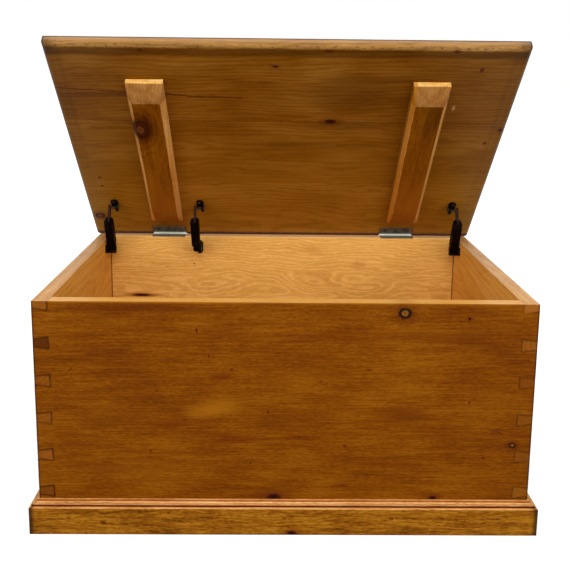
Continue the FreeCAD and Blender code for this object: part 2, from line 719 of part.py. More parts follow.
class Stay:
    """Places and angles of one stay.  inward is +1 or -1 along X, away from its side board."""

    def __init__(self, name, plane, inward):
        self.name = name
        self.plane = plane
        self.inward = inward
        opened = math.radians(size("lid_open_angle"))
        along = size("stay_foot_along")
        depth = size("lid_gap / 2 - stay_foot_drop")
        self.lower = Vector(size(plane), size(BASE_Y), size(BASE_Z))
        upper_y = size(AXIS_BACK) - along * math.cos(opened) + depth * math.sin(opened)
        upper_z = size(AXIS_RISE) + along * math.sin(opened) + depth * math.cos(opened)
        rise = upper_z - self.lower.z
        run = upper_y - self.lower.y
        reach = math.hypot(run, rise)
        housing = size("housing_span")
        arm = size("arm_span")
        corner = math.acos((housing ** 2 + reach ** 2 - arm ** 2) / (2 * housing * reach))
        self.housing_angle = math.atan2(rise, run) + corner
        elbow_y = self.lower.y + housing * math.cos(self.housing_angle)
        elbow_z = self.lower.z + housing * math.sin(self.housing_angle)
        self.elbow = Vector(self.lower.x, elbow_y, elbow_z)
        self.arm_angle = math.atan2(upper_z - elbow_z, upper_y - elbow_y)

    def span(self, near, far):
        """Level and length along X of a layer between two distances from the middle plane."""
        start = near if self.inward > 0 else f"0 - ({far})"
        return start, f"({far}) - ({near})"

    def layer(self, body, near, far, outlines=(), circles=()):
        start, length = self.span(near, far)
        add_pad(body, "YZ_Plane", start, length, outlines, circles)

    def trench(self, body, near, far, outlines=(), circles=()):
        start, length = self.span(near, far)
        add_pocket(body, "YZ_Plane", f"{start} + ({length})", length, outlines, circles)

    def place(self, thing, at, angle):
        turn = FreeCAD.Rotation(X_AXIS, math.degrees(angle))
        thing.Placement = FreeCAD.Placement(at, turn)
        return thing


def side_base(stay):
    """A base of bent plate: a back against the side board, a web below and an inner ear."""
    body = new_body(stay.name + "_base_blank")
    wall = "0 - side_stay_inset"
    eye = "eye_half + ear_gap"
    plate_face = f"{wall} + base_plate_thick"
    half_long = "base_plate_long / 2"
    half_tall = "base_plate_tall / 2"
    plate = box_corners(f"0 - {half_long}", half_long, f"0 - {half_tall}", half_tall)
    stay.layer(body, wall, plate_face, [plate])
    stay.layer(body, plate_face, f"0 - ({eye})", (), [("0", "0", "ear_radius")])
    ear = f"{eye} + ear_thick"
    web_top = "0 - ear_radius - web_clear"
    web = box_corners("0 - ear_radius / 2", "ear_radius", f"{web_top} - ear_thick", web_top)
    stay.layer(body, wall, ear, [web])
    stay.layer(body, eye, ear, (), [("0", "0", "ear_radius")])
    cheek = box_corners("0 - ear_radius / 2", "ear_radius * 0.9", web_top, "0")
    stay.layer(body, eye, ear, [cheek])
    stay.layer(body, plate_face, f"0 - ({eye})", [cheek])
    stay.trench(body, wall, ear, (), [("0", "0", "base_pin_radius")])
    return stay.place(body, stay.lower, 0.0)


def middle_base(stay):
    """A base with a plate on the back board and a lug that stands forward from it."""
    body = new_body(stay.name + "_base_blank")
    eye = "eye_half + ear_gap"
    low = "0 - middle_plate_drop - middle_plate_tall / 2"
    high = "0 - middle_plate_drop + middle_plate_tall / 2"
    plate_face = "stay_base_forward - base_plate_thick"
    left = MIDDLE_PLATE_EDGE
    right = f"{MIDDLE_PLATE_EDGE} + middle_plate_wide"
    plate = [
        (left, f"{low} + middle_plate_corner"),
        (f"{left} + middle_plate_corner", low),
        (f"{right} - middle_plate_corner", low),
        (right, f"{low} + middle_plate_corner"),
        (right, f"{high} - middle_plate_corner"),
        (f"{right} - middle_plate_corner", high),
        (f"{left} + middle_plate_corner", high),
        (left, f"{high} - middle_plate_corner"),
    ]
    add_pad(body, "XZ_Plane", "0 - stay_base_forward", "base_plate_thick", [plate])
    web = [
        ("0", "0 - ear_radius * 0.9"),
        (plate_face, "0 - ear_radius - middle_plate_drop"),
        (plate_face, "ear_radius"),
        ("0", "ear_radius * 0.9"),
    ]
    stay.layer(body, eye, MIDDLE_LUG_FAR, [web])
    stay.layer(body, eye, MIDDLE_LUG_FAR, (), [("0", "0", "ear_radius")])
    stay.trench(body, eye, MIDDLE_LUG_FAR, (), [("0", "0", "base_pin_radius")])
    return stay.place(body, stay.lower, 0.0)


def rivet(name, stay, at, near, far, radius, heads):
    """A pin along X between two distances from the middle plane, with its heads."""
    body = new_body(name)
    stay.layer(body, near, far, (), [("0", "0", radius)])
    for head_near, head_far, head_radius in heads:
        stay.layer(body, head_near, head_far, (), [("0", "0", head_radius)])
    return stay.place(body, at, 0.0)


def base_pin(stay, far):
    """The lower pivot, headed on its inner end and, without a side board, on both."""
    near = "0 - side_stay_inset + base_plate_thick"
    heads = [(far, f"{far} + rivet_head_thick", "rivet_head_radius")]
    if stay.name == "stay_middle":
        under_head = "0 - eye_half - rivet_play"
        near = f"{under_head} - rivet_head_thick"
        heads.append((near, under_head, "rivet_head_radius"))
    return rivet(stay.name + "_base_pin", stay, stay.lower, near, far, "base_pin_radius", heads)


def housing_outline():
    """The housing from the side: u from the lower pivot to the elbow, mouth below u."""
    end = "housing_span + housing_end"
    return [
        ("housing_neck", "0 - eye_radius"),
        ("housing_shoulder", "0 - housing_mouth"),
        (f"{end} - housing_slope_long", "0 - housing_mouth"),
        (end, "0 - housing_mouth / 2"),
        (end, "housing_belly / 2"),
        (f"{end} - housing_slope_long", "housing_belly"),
        ("housing_shoulder", "housing_belly"),
        ("housing_neck", "eye_radius"),
    ]


def taper_tip(stay, body, sides):
    """Slope the faces of the housing towards the arm at the tip; a side is 1 inward, -1 outward."""
    end = "(housing_span + housing_end)"
    for side in sides:
        toward = "" if side * stay.inward > 0 else "0 - "
        wedge = [
            (f"{toward}housing_half", f"{end} - housing_tip_long"),
            (f"{toward}housing_half", end),
            (f"{toward}housing_tip_half", end),
        ]
        add_pocket(body, "XY_Plane", "2 * housing_belly", "4 * housing_belly", [wedge])


def housing(stay):
    """The housing link: an eye, a body and a channel that the arm folds into."""
    body = new_body(stay.name + "_housing")
    outline = housing_outline()
    stay.layer(body, OUTER_CHEEK, INNER_CHEEK, [outline])
    neck = box_corners("0", "housing_neck + neck_overlap", "0 - eye_radius * 0.9", "eye_radius * 0.9")
    stay.layer(body, "0 - eye_half", "eye_half", [neck])
    stay.layer(body, "0 - eye_half", "eye_half", (), [("0", "0", "eye_radius")])
    mouth = box_corners("channel_start", "housing_span + housing_end", "0 - housing_belly",
                        "channel_floor")
    stay.trench(body, "0 - channel_half", "channel_half", [mouth])
    elbow = ("housing_span", "0", "spring_radius + spring_play")
    spring_room = "arm_half + spring_play + spring_count * (spring_thick + spring_play)"
    stay.trench(body, "channel_half", spring_room, (), [elbow])
    stay.trench(body, OUTER_CHEEK, INNER_CHEEK, (), [("housing_span", "0", "elbow_pin_radius")])
    stay.trench(body, "0 - eye_half", "eye_half", (), [("0", "0", "base_pin_radius + pin_clear")])
    taper_tip(stay, body, (1, -1))
    return stay.place(body, stay.lower, stay.housing_angle)


def housing_cover(stay):
    """A pressed plate over the inner face of the housing."""
    body = new_body(stay.name + "_cover")
    stay.layer(body, INNER_CHEEK, "housing_half", [housing_outline()])
    taper_tip(stay, body, (1,))
    return stay.place(body, stay.lower, stay.housing_angle)


def elbow_pin(stay):
    """Runs from its head on the outer cheek to the cover."""
    near = "0 - housing_half"
    heads = [(f"{near} - rivet_head_thick", near, "rivet_head_radius")]
    return rivet(stay.name + "_elbow_pin", stay, stay.elbow, near, INNER_CHEEK, "elbow_pin_radius", heads)


def disc_springs(stay):
    """Spring washers that press on the arm and hold the lid where it is left."""
    outer = size("spring_radius")
    inner = size("elbow_pin_radius")
    thick = size("spring_thick")
    play = size("spring_play")
    solids = []
    for order in range(round(size("spring_count"))):
        near = size("arm_half") + play + order * (thick + play)
        start = near if stay.inward > 0 else -near - thick
        disc = Part.makeCylinder(outer, thick, Vector(start, 0, 0), X_AXIS)
        solids.append(disc.cut(Part.makeCylinder(inner, thick, Vector(start, 0, 0), X_AXIS)))
    springs = add_solids(stay.name + "_disc_springs", solids)
    return stay.place(springs, stay.elbow, stay.housing_angle)


def stay_arm(stay):
    """The thin arm from the elbow to the lid."""
    body = new_body(stay.name + "_arm")
    bar = box_corners("0", "arm_span", "0 - arm_wide / 2", "arm_wide / 2")
    stay.layer(body, "0 - arm_half", "arm_half", [bar])
    stay.layer(body, "0 - arm_half", "arm_half", (), [("0", "0", "arm_elbow_radius")])
    stay.layer(body, "0 - arm_half", "arm_half", (), [("arm_span", "0", "arm_foot_radius")])
    stay.trench(body, "0 - arm_half", "arm_half", (), [("0", "0", "elbow_pin_radius + pin_clear")])
    stay.trench(body, "0 - arm_half", "arm_half", (), [("arm_span", "0", "foot_pin_radius")])
    return stay.place(body, stay.elbow, stay.arm_angle)


def foot_pin(stay):
    """Riveted flush in the arm; its broad head keeps the lug of the lid foot on it."""
    far = f"{FOOT_PLATE_FAR} + ear_gap"
    heads = [(far, f"{far} + rivet_head_thick", "foot_pin_head")]
    arm = size("arm_span")
    turn = Vector(0, arm * math.cos(stay.arm_angle), arm * math.sin(stay.arm_angle))
    at = stay.elbow + turn
    return rivet(stay.name + "_foot_pin", stay, at, "0 - arm_half", far, "foot_pin_radius", heads)


def lid_foot(stay):
    """A plate screwed to the lid with a lug that the upper pivot passes, drawn on the closed lid."""
    body = new_body(stay.name + "_lid_foot_blank")
    pivot_y = "0 - stay_foot_along"
    pivot_z = "lid_gap / 2 - stay_foot_drop"
    start, length = stay.span("foot_plate_near", FOOT_PLATE_FAR)
    left = f"{stay.plane} + {start}"
    right = f"{left} + {length}"
    near = f"{pivot_y} - foot_plate_long / 2"
    far = f"{pivot_y} + foot_plate_long / 2"
    plate = [
        (left, f"{near} + foot_plate_corner"),
        (f"{left} + foot_plate_corner", near),
        (f"{right} - foot_plate_corner", near),
        (right, f"{near} + foot_plate_corner"),
        (right, f"{far} - foot_plate_corner"),
        (f"{right} - foot_plate_corner", far),
        (f"{left} + foot_plate_corner", far),
        (left, f"{far} - foot_plate_corner"),
    ]
    level = "lid_gap / 2 - foot_plate_thick"
    add_pad(body, "XY_Plane", level, "foot_plate_thick", [plate])
    lug_start, lug_long = stay.span(f"{FOOT_PLATE_FAR} - foot_lug_thick", FOOT_PLATE_FAR)
    lug_level = f"{stay.plane} + {lug_start}"
    stem = box_corners(f"{pivot_y} - foot_stem_half", f"{pivot_y} + foot_stem_half", pivot_z, level)
    add_pad(body, "YZ_Plane", lug_level, lug_long, [stem])
    add_pad(body, "YZ_Plane", lug_level, lug_long, (), [(pivot_y, pivot_z, "foot_lug_radius")])
    hole = (pivot_y, pivot_z, "foot_pin_radius + foot_pin_play")
    add_pocket(body, "YZ_Plane", f"{lug_level} + {lug_long}", lug_long, (), [hole])
    return body


def base_screw_places(stay):
    """Where the base's screws start, and the way they point."""
    if stay.name == "stay_middle":
        across = stay.lower.x + size(f"({MIDDLE_PLATE_EDGE} + eye_half + ear_gap) / 2")
        face = stay.lower.y + size("stay_base_forward - base_plate_thick")
        level = stay.lower.z - size("middle_plate_drop")
        half = size("middle_screw_spread / 2")
        return [(Vector(across, face, level + end * half), Y_AXIS) for end in (-1, 1)]
    face = stay.lower.x - stay.inward * size("side_stay_inset - base_plate_thick")
    half = size("base_screw_spread / 2")
    out = X_AXIS * -stay.inward
    return [(Vector(face, stay.lower.y + end * half, stay.lower.z), out) for end in (-1, 1)]


def foot_screw_places(stay):
    """On the closed lid, one at each end of the foot plate."""
    across = size(stay.plane) + stay.inward * size("foot_screw_at")
    half = size("foot_screw_spread / 2")
    level = size("lid_gap / 2 - foot_plate_thick")
    row = -size("stay_foot_along")
    return [Vector(across, row + end * half, level) for end in (-1, 1)]


# ------------------------------------------------------------------ building it all

pieces = {}


def keep(name, thing):
    """Record a finished sub-part under its node name."""
    thing.Label = name
    pieces[name] = thing


stays = [
    Stay("stay_left", f"(0 - {SIDE_PLANE})", 1),
    Stay("stay_middle", MIDDLE_PLANE, 1),
    Stay("stay_right", SIDE_PLANE, -1),
]
hinges = {"hinge_left": LEFT_HINGE, "hinge_right": RIGHT_HINGE}

nail = nail_solid(size("floor_nail_long"))
floor_nails = add_solids("floor_nails", [placed(nail, at, Z_AXIS) for at in floor_nail_places()])
keep("floor_nails", floor_nails)

nail = nail_solid(size("plinth_nail_long"))
plinth_nails = add_solids("plinth_nails", [placed(nail, at, way) for at, way in plinth_nail_places()])
keep("plinth_nails", plinth_nails)

nail = nail_solid(size("batten_nail_long"))
down = Vector(0, 0, -1)
nails = [placed(nail, at, down) for at in batten_nail_places()]
batten_nails = add_solids("batten_nails", nails)
batten_holes = add_solids("batten_nail_holes", nails)
keep("batten_nails", batten_nails)

chest_places = leaf_screw_places(-1)
chest_screws, chest_holes = add_screws("hinge_chest_screws", chest_places, [down] * len(chest_places))
lid_places = leaf_screw_places(1)
lid_screws, lid_holes = add_screws("hinge_lid_screws", lid_places, [Z_AXIS] * len(lid_places))
base_places = [place for stay in stays for place in base_screw_places(stay)]
base_screws, base_holes = add_screws("stay_base_screws", [at for at, way in base_places],
                                     [way for at, way in base_places])
foot_places = [place for stay in stays for place in foot_screw_places(stay)]
foot_screws, foot_holes = add_screws("stay_foot_screws", foot_places, [Z_AXIS] * len(foot_places))
for group in (chest_screws, chest_holes):
    hang_on_axis(group)
keep("hinge_chest_screws", chest_screws)
keep("hinge_lid_screws", lid_screws)
keep("stay_base_screws", base_screws)
keep("stay_foot_screws", foot_screws)

front_blank = tail_board("front_board", "(0 - chest_depth / 2)")
back_blank = tail_board("back_board", "(chest_depth / 2 - wall_thick)")
chest_mortises = []
for name, middle in hinges.items():
    recess = leaf_mortise(name + "_chest_mortise", middle, -1, "chest_mortise_clear")
    chest_mortises.append(hang_on_axis(recess))
    recess.setExpression("Placement.Base.y", linked(f"{AXIS_BACK} - leaf_wide"))
    recess.setExpression("Placement.Base.z", linked(f"{AXIS_RISE} - lid_gap / 2 - leaf_thick"))

keep("front_board", cut_away("front_board", front_blank, [floor_nails, plinth_nails]))
back_tools = [floor_nails, plinth_nails, chest_holes, base_holes] + chest_mortises
keep("back_board", cut_away("back_board", back_blank, back_tools))
for name, left in (("left_side_board", "0 - chest_length / 2"),
                   ("right_side_board", "chest_length / 2 - wall_thick")):
    blank = side_blank(name + "_blank", left)
    tools = [front_blank, back_blank, floor_nails, plinth_nails, base_holes]
    keep(name, cut_away(name, blank, tools))

for order, name in enumerate(("floor_board_front", "floor_board_middle", "floor_board_back")):
    keep(name, cut_away(name, floor_board(name + "_blank", order), [floor_nails]))

plinth_sides = [
    ("plinth_front", "chest_length", "chest_depth / 2", 0),
    ("plinth_right", "chest_depth", "chest_length / 2", 90),
    ("plinth_back", "chest_length", "chest_depth / 2", 180),
    ("plinth_left", "chest_depth", "chest_length / 2", 270),
]
for name, run, reach, angle in plinth_sides:
    keep(name, cut_away(name, plinth_board(name, run, reach, angle), [plinth_nails]))

whole_lid = lid_blank()
lid_mortises = []
for name, middle in hinges.items():
    lid_mortises.append(leaf_mortise(name + "_lid_mortise", middle, 1, "lid_mortise_clear"))
    lid_mortises.append(barrel_notch(name + "_barrel_notch", middle))
lid_tools = {
    "lid_board_front": [batten_holes],
    "lid_board_middle": [batten_holes],
    "lid_board_back": [batten_holes, lid_holes, foot_holes] + lid_mortises,
}
lid_cuts = {
    "lid_board_front": ("lid_front_joint", LID_FRONT),
    "lid_board_middle": ("lid_back_joint", "lid_front_joint"),
    "lid_board_back": (LID_BACK, "lid_back_joint"),
}
for name, (near, far) in lid_cuts.items():
    keep(name, hang_on_lid(cut_away(name, lid_slice(name, whole_lid, near, far), lid_tools[name])))

for name, middle in (("batten_left", LEFT_BATTEN), ("batten_right", RIGHT_BATTEN)):
    keep(name, hang_on_lid(cut_away(name, batten(name, middle), [batten_holes])))

for name, middle in hinges.items():
    lower = hinge_leaf(name + "_chest_leaf", middle, -1, (0, 2, 4), "hinge_pin_radius")
    hang_on_axis(lower)
    keep(name + "_chest_leaf", cut_away(name + "_chest_leaf", lower, [chest_holes]))
    upper = hinge_leaf(name + "_lid_leaf", middle, 1, (1, 3), "hinge_pin_radius + pin_clear")
    keep(name + "_lid_leaf", hang_on_lid(cut_away(name + "_lid_leaf", upper, [lid_holes])))
    keep(name + "_pin", hinge_pin(name + "_pin", middle))

for stay in stays:
    if stay.name == "stay_middle":
        base = middle_base(stay)
        pin_end = MIDDLE_LUG_FAR
    else:
        base = side_base(stay)
        pin_end = "eye_half + ear_gap + ear_thick"
    keep(stay.name + "_base", cut_away(stay.name + "_base", base, [base_holes]))
    keep(stay.name + "_base_pin", base_pin(stay, pin_end))
    keep(stay.name + "_housing", housing(stay))
    keep(stay.name + "_cover", housing_cover(stay))
    keep(stay.name + "_elbow_pin", elbow_pin(stay))
    keep(stay.name + "_disc_springs", disc_springs(stay))
    keep(stay.name + "_arm", stay_arm(stay))
    keep(stay.name + "_foot_pin", foot_pin(stay))
    foot = cut_away(stay.name + "_lid_foot", lid_foot(stay), [foot_holes])
    keep(stay.name + "_lid_foot", hang_on_lid(foot))

doc.recompute()
for group in (lid_screws, foot_screws, batten_nails):
    hang_on_lid(group)
doc.recompute()

# ------------------------------------------------------------------ checking and writing

for thing in doc.Objects:
    if "Invalid" in thing.State or "Error" in thing.State:
        raise RuntimeError(f"{thing.Label} did not recompute: {thing.State}")
for name, thing in pieces.items():
    if thing.Shape.isNull() or not thing.Shape.isValid() or not thing.Shape.Solids:
        raise RuntimeError(f"{name} has no sound solid")

os.makedirs("parts", exist_ok=True)
for name, thing in pieces.items():
    thing.Shape.exportStep(f"parts/{name}.step")
print(len(pieces), "sub-parts written")
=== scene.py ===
"""Looks of a dovetailed pine blanket chest: stained and waxed pine, steel hinges, blackened stays.

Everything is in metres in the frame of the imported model: +X right, +Y back, +Z up.  Patterns in the
wood are drawn in millimetres, in a frame of their own for each board.
"""
import functools
import json
import math

import bmesh
import bpy
from mathutils import Matrix, Vector


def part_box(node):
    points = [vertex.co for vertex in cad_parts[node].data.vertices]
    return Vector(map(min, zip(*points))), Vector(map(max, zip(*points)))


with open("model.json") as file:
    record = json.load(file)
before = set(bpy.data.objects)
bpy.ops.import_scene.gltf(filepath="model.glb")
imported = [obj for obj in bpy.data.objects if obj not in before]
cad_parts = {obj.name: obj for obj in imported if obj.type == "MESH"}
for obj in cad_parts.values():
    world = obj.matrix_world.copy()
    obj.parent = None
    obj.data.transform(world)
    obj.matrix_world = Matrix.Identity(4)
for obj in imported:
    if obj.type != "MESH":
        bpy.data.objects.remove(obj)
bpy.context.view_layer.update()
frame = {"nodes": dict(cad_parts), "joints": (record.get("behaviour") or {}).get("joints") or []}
nodes = frame["nodes"]

X = Vector((1, 0, 0))
Y = Vector((0, 1, 0))
Z = Vector((0, 0, 1))
MM = 0.001

# ------------------------------------------------------------------ sizes of the model, in mm

front_low, front_high = (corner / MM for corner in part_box("front_board"))
HALF_LONG = front_high.x
RIM = front_high.z
CARCASS_FOOT = front_low.z
FRONT_FACE = front_low.y
WALL = front_high.y - front_low.y
BACK_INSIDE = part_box("back_board")[0].y / MM
PLINTH_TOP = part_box("plinth_front")[1].z / MM
HINGE = Vector(frame["joints"][0]["pos_m"])
LID_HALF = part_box("lid_board_middle")[1].x / MM
LID_OPEN = math.radians(45)
LID_THICK = 21.0
LID_FREE_EDGE = 603.2
LID_FRONT_JOINT = 402.0
LID_BACK_JOINT = 201.0


# ------------------------------------------------------------------ colours and nodes

def linear(code):
    """A hex colour as the linear values that a shader takes."""
    values = [int(code[place:place + 2], 16) / 255 for place in (1, 3, 5)]
    curved = [v / 12.92 if v <= 0.04045 else ((v + 0.055) / 1.055) ** 2.4 for v in values]
    return (*curved, 1.0)


def node(tree, kind, inputs=(), stops=(), **settings):
    """Add one node, with its settings, its ramp's stops, and a value or a link for each input."""
    made = tree.nodes.new("ShaderNode" + kind)
    for name, value in settings.items():
        setattr(made, name, value)
    if stops:
        ramp = made.color_ramp.elements
        while len(ramp) < len(stops):
            ramp.new(1.0)
        for stop, (place, value) in zip(ramp, stops):
            stop.position = place
            stop.color = linear(value) if isinstance(value, str) else (value, value, value, 1.0)
    for key, value in (inputs.items() if isinstance(inputs, dict) else enumerate(inputs)):
        if isinstance(value, bpy.types.Node):
            value = next(out for out in value.outputs if out.enabled)
        if isinstance(value, bpy.types.NodeSocket):
            tree.links.new(value, made.inputs[key])
        else:
            made.inputs[key].default_value = value
    return made


def new_material(name):
    """An empty material, and the function that adds nodes to it."""
    made = bpy.data.materials.new(name)
    made.use_nodes = True
    made.node_tree.nodes.clear()
    return made, functools.partial(node, made.node_tree)


SMOOTH = {"interpolation_type": "SMOOTHSTEP"}
COLOUR = {"data_type": "RGBA"}


def wash(add, colour, over, value, low, high, amount=1.0, where=None, **blend):
    """Lay one colour over another, more of it as a value goes from low to high, and only where it
    may lie at all, where that is given."""
    share = add("MapRange", [value, low, high, 0.0, amount], **SMOOTH)
    if where is not None:
        share = add("Math", [share, where], operation="MULTIPLY")
    over = linear(over) if isinstance(over, str) else over
    return add("Mix", {0: share, 6: colour, 7: over}, **COLOUR, **blend)


def ragged(add, value, noise, reach):
    """Move a value to and fro by a noise, so that what begins there has no ruled edge."""
    return add("Math", [add("Math", [noise, 0.5], operation="SUBTRACT"), reach, value],
               operation="MULTIPLY_ADD")


def away(add, value, level):
    """Distance from a level, to either side."""
    return add("Math", [add("Math", [value, level], operation="SUBTRACT")], operation="ABSOLUTE")


# ------------------------------------------------------------------ where the wood of a board grows

FACING = {
    "front": (X, Z, -Y),
    "back": (-X, Z, Y),
    "left": (-Y, Z, -X),
    "right": (Y, Z, X),
    "up": (X, Y, Z),
}
LID_ALONG = Vector((0, -math.cos(LID_OPEN), math.sin(LID_OPEN)))
LID_INWARD = X.cross(LID_ALONG)
FACING["lid"] = (X, LID_ALONG, LID_INWARD)
FACING["batten"] = (LID_ALONG, -X, LID_INWARD)


def board_space(add, facing, origin):
    """Millimetres along the board, across it and out of its show face, from an origin in mm."""
    turn = Matrix(FACING[facing]).transposed().to_euler()
    coordinates = add("TexCoord").outputs["Object"]
    settings = {"Vector": coordinates, "Location": Vector(origin) * MM, "Rotation": turn,
                "Scale": (MM, MM, MM)}
    return add("Mapping", settings, vector_type="TEXTURE")


def streaks(add, place, along, across, seed, detail=3.0, rough=0.5):
    """Noise drawn out along the grain: a size along it and a size across it, in mm."""
    stretch = (1 / along, 1 / across, 1 / across)
    scaled = add("VectorMath", [place, stretch], operation="MULTIPLY")
    moved = add("VectorMath", [scaled, (seed, seed * 1.7, seed * 0.6)], operation="ADD")
    settings = {"Vector": moved, "Scale": 1.0, "Detail": detail, "Roughness": rough}
    return add("TexNoise", settings).outputs[0]


def from_spot(add, place, centre, radii):
    """Distance from a place on the face, where 1 is the edge of an ellipse about it."""
    offset = add("VectorMath", [place, (*centre, 0)], operation="SUBTRACT")
    scaled = add("VectorMath", [offset, (1 / radii[0], 1 / radii[1], 0)], operation="MULTIPLY")
    return add("VectorMath", [scaled], operation="LENGTH").outputs["Value"]


def from_line(add, place, start, end):
    """Distance in mm from a straight line on the face, between two places."""
    run = Vector((end[0] - start[0], end[1] - start[1], 0))
    offset = add("VectorMath", [place, (*start, 0)], operation="SUBTRACT")
    flat = add("VectorMath", [offset, (1, 1, 0)], operation="MULTIPLY")
    project = add("VectorMath", [flat, run], operation="DOT_PRODUCT").outputs["Value"]
    share = add("Math", [project, run.length_squared], operation="DIVIDE", use_clamp=True)
    foot = add("VectorMath", {0: run, "Scale": share}, operation="SCALE")
    return add("VectorMath", [flat, foot], operation="DISTANCE").outputs["Value"]


def board(spacing, pith, wander=(420, 60, 26), late=0.2):
    """How a board was cut: ring spacing in mm; the pith's place across and into the board, and its
    lean; how the rings wander (length, width, sway); and how far late wood moves the colour."""
    return {"spacing": spacing, "pith": pith, "wander": wander, "late": late}


# One year of growth, as how dark it is: pale early wood, darkening slowly to the late wood
YEAR = [(0.0, 0.3), (0.14, 0.0), (0.5, 0.15), (0.85, 1.0), (1.0, 0.3)]


def growth_rings(add, place, wood, seed, knots):
    """Late wood of the yearly rings about the pith, pushed aside by the knots."""
    long, wide, sway = wood["wander"]
    across, depth, lean = wood["pith"]
    moved = add("VectorMath", [place, (0, -across, -depth)], operation="ADD")
    parts = add("SeparateXYZ", [moved])
    leaning = add("Math", [parts.outputs[0], lean, parts.outputs[2]], operation="MULTIPLY_ADD")
    plane = add("CombineXYZ", {1: parts.outputs[1], 2: leaning})
    reach = add("VectorMath", [plane], operation="LENGTH").outputs["Value"]
    # a broad sway, and a smaller one on top of it
    reach = ragged(add, reach, streaks(add, place, long, wide, seed, 2.0), sway)
    reach = ragged(add, reach, streaks(add, place, long / 5, wide / 4, seed + 3.1, 2.0), sway / 4)
    for centre, radii, look in knots:
        if look != "dent":
            # the rings swing out round the knot, from four times its length and three its width
            spot = from_spot(add, place, centre, (radii[0] * 4, radii[1] * 3))
            near = add("MapRange", [spot, 1.0, 0.0], **SMOOTH)
            reach = add("Math", [near, radii[1] * 2.4, reach], operation="MULTIPLY_ADD")
    rings = add("Math", [reach, wood["spacing"]], operation="DIVIDE")
    share = add("Math", [rings], operation="FRACT")
    return add("ValToRGB", [share], YEAR)


# ------------------------------------------------------------------ finishes of the pine

# Pine is a soft wood with pale early wood and browner late wood.  Each finish runs from its darkest
# streaks, over its usual colour, to its palest streaks.
STAINED = ["#4A1A00", "#713900", "#8E5406"]        # spirit stain under old wax: deep amber
LID_INSIDE = ["#4A2502", "#7D4904", "#9E6B24"]     # the same stain, thinner and browner
RIM_TONES = ["#9A6832", "#C28C50", "#DAB074"]      # top edges of the sides: pale and a little pink
END_GRAIN = ["#582C02", "#743C06", "#8E500E"]      # the stain sinks in and hides the rings
BATTEN = ["#421E02", "#7B4202", "#985E0C"]         # redder than the lid
HONEY = ["#BC8034", "#E6AE58", "#F8CE8A"]          # never stained: pale honey
SHADED_HONEY = ["#B07428", "#DE9F3E", "#F2BE68"]     # the same honey, painted darker and more orange as shade inside the chest
NOSING = ["#523410", "#94682F", "#BC8E54"]         # lid edge: stain rubbed through, and handled
WORN = ["#945A1C", "#D09444", "#EABA78"]           # paler, along the bevels of the battens
SAWN_END = ["#80501E", "#AA7236", "#C89456"]       # sloped ends of the battens, paler than their faces
PLINTH = ["#4A2602", "#844C08", "#A66E18"]         # stain over coarse, streaky wood
MOULDING_SHEEN = ["#9A6632", "#CA9656", "#E2B87C"]       # moulding: the plinth's stain painted pale as a sheen along its curve
BARE = ["#8C6A3C", "#B0905E", "#CCAC7C"]           # sawn and left bare

KNOT_LOOKS = {
    # the branch was alive: brown rings grown into the board
    "live": [(0.0, "#7A3C10"), (0.3, "#5A2408"), (0.5, "#7C3E12"), (0.78, "#4E1E06"),
             (1.0, "#6A3408")],
    # a sound branch cut across: a paler heart inside broad dark rings
    "ringed": [(0.0, "#74421C"), (0.14, "#5A280C"), (0.26, "#74421C"), (0.44, "#3E1404"),
               (0.6, "#4A1C06"), (0.8, "#2C0C00"), (1.0, "#4A2004")],
    # the branch was dead: a black rim of bark round a hard brown heart
    "dead": [(0.0, "#5E3408"), (0.4, "#7C4E16"), (0.55, "#2A0E02"), (0.85, "#1E0A02"),
             (1.0, "#3E1A04")],
    # a small sound branch, brown with a thin dark rim
    "rimmed": [(0.0, "#6E3A14"), (0.42, "#74401A"), (0.6, "#3A0C04"), (0.9, "#2E0800"),
               (1.0, "#4E1C06")],
    # a hole or slit, filled with dark wax and dirt
    "hole": [(0.0, "#160400"), (0.6, "#320C00"), (1.0, "#6A2C08")],
    # a small dent with old stain in it
    "dent": [(0.0, "#380C00"), (1.0, "#561C00")],
}
# A "swirl" lies under the face: it has no colour of its own and only bends the rings.
HALO_TINT = "#C0A080"       # resin has darkened the wood about a knot
CRACK_DARK = "#441200"      # old dirt and wax in a crack or seam

# Where a patch, a knot, its halo or a hollow has faded out and where it is full, as shares of its
# radii
PATCH_EDGE = (1.2, 0.2)
KNOT_EDGE = (1.3, 0.8)
HALO_EDGE = (3.0, 0.9)
HOLLOW_EDGE = (1.2, 0.8)

# The parts of the grain: hairs, flecks, streaks and clouds, each with a size in mm along and across
# the grain, a detail and a roughness.  Real fibres are far finer; they are drawn this coarse so
# that they can be seen from two metres.
GRAIN = [(64, 2.3, 4.0, 0.6), (10, 2.6, 3.0, 0.6), (84, 11, 3.0, 0.6), (160, 70, 2.0, 0.5)]


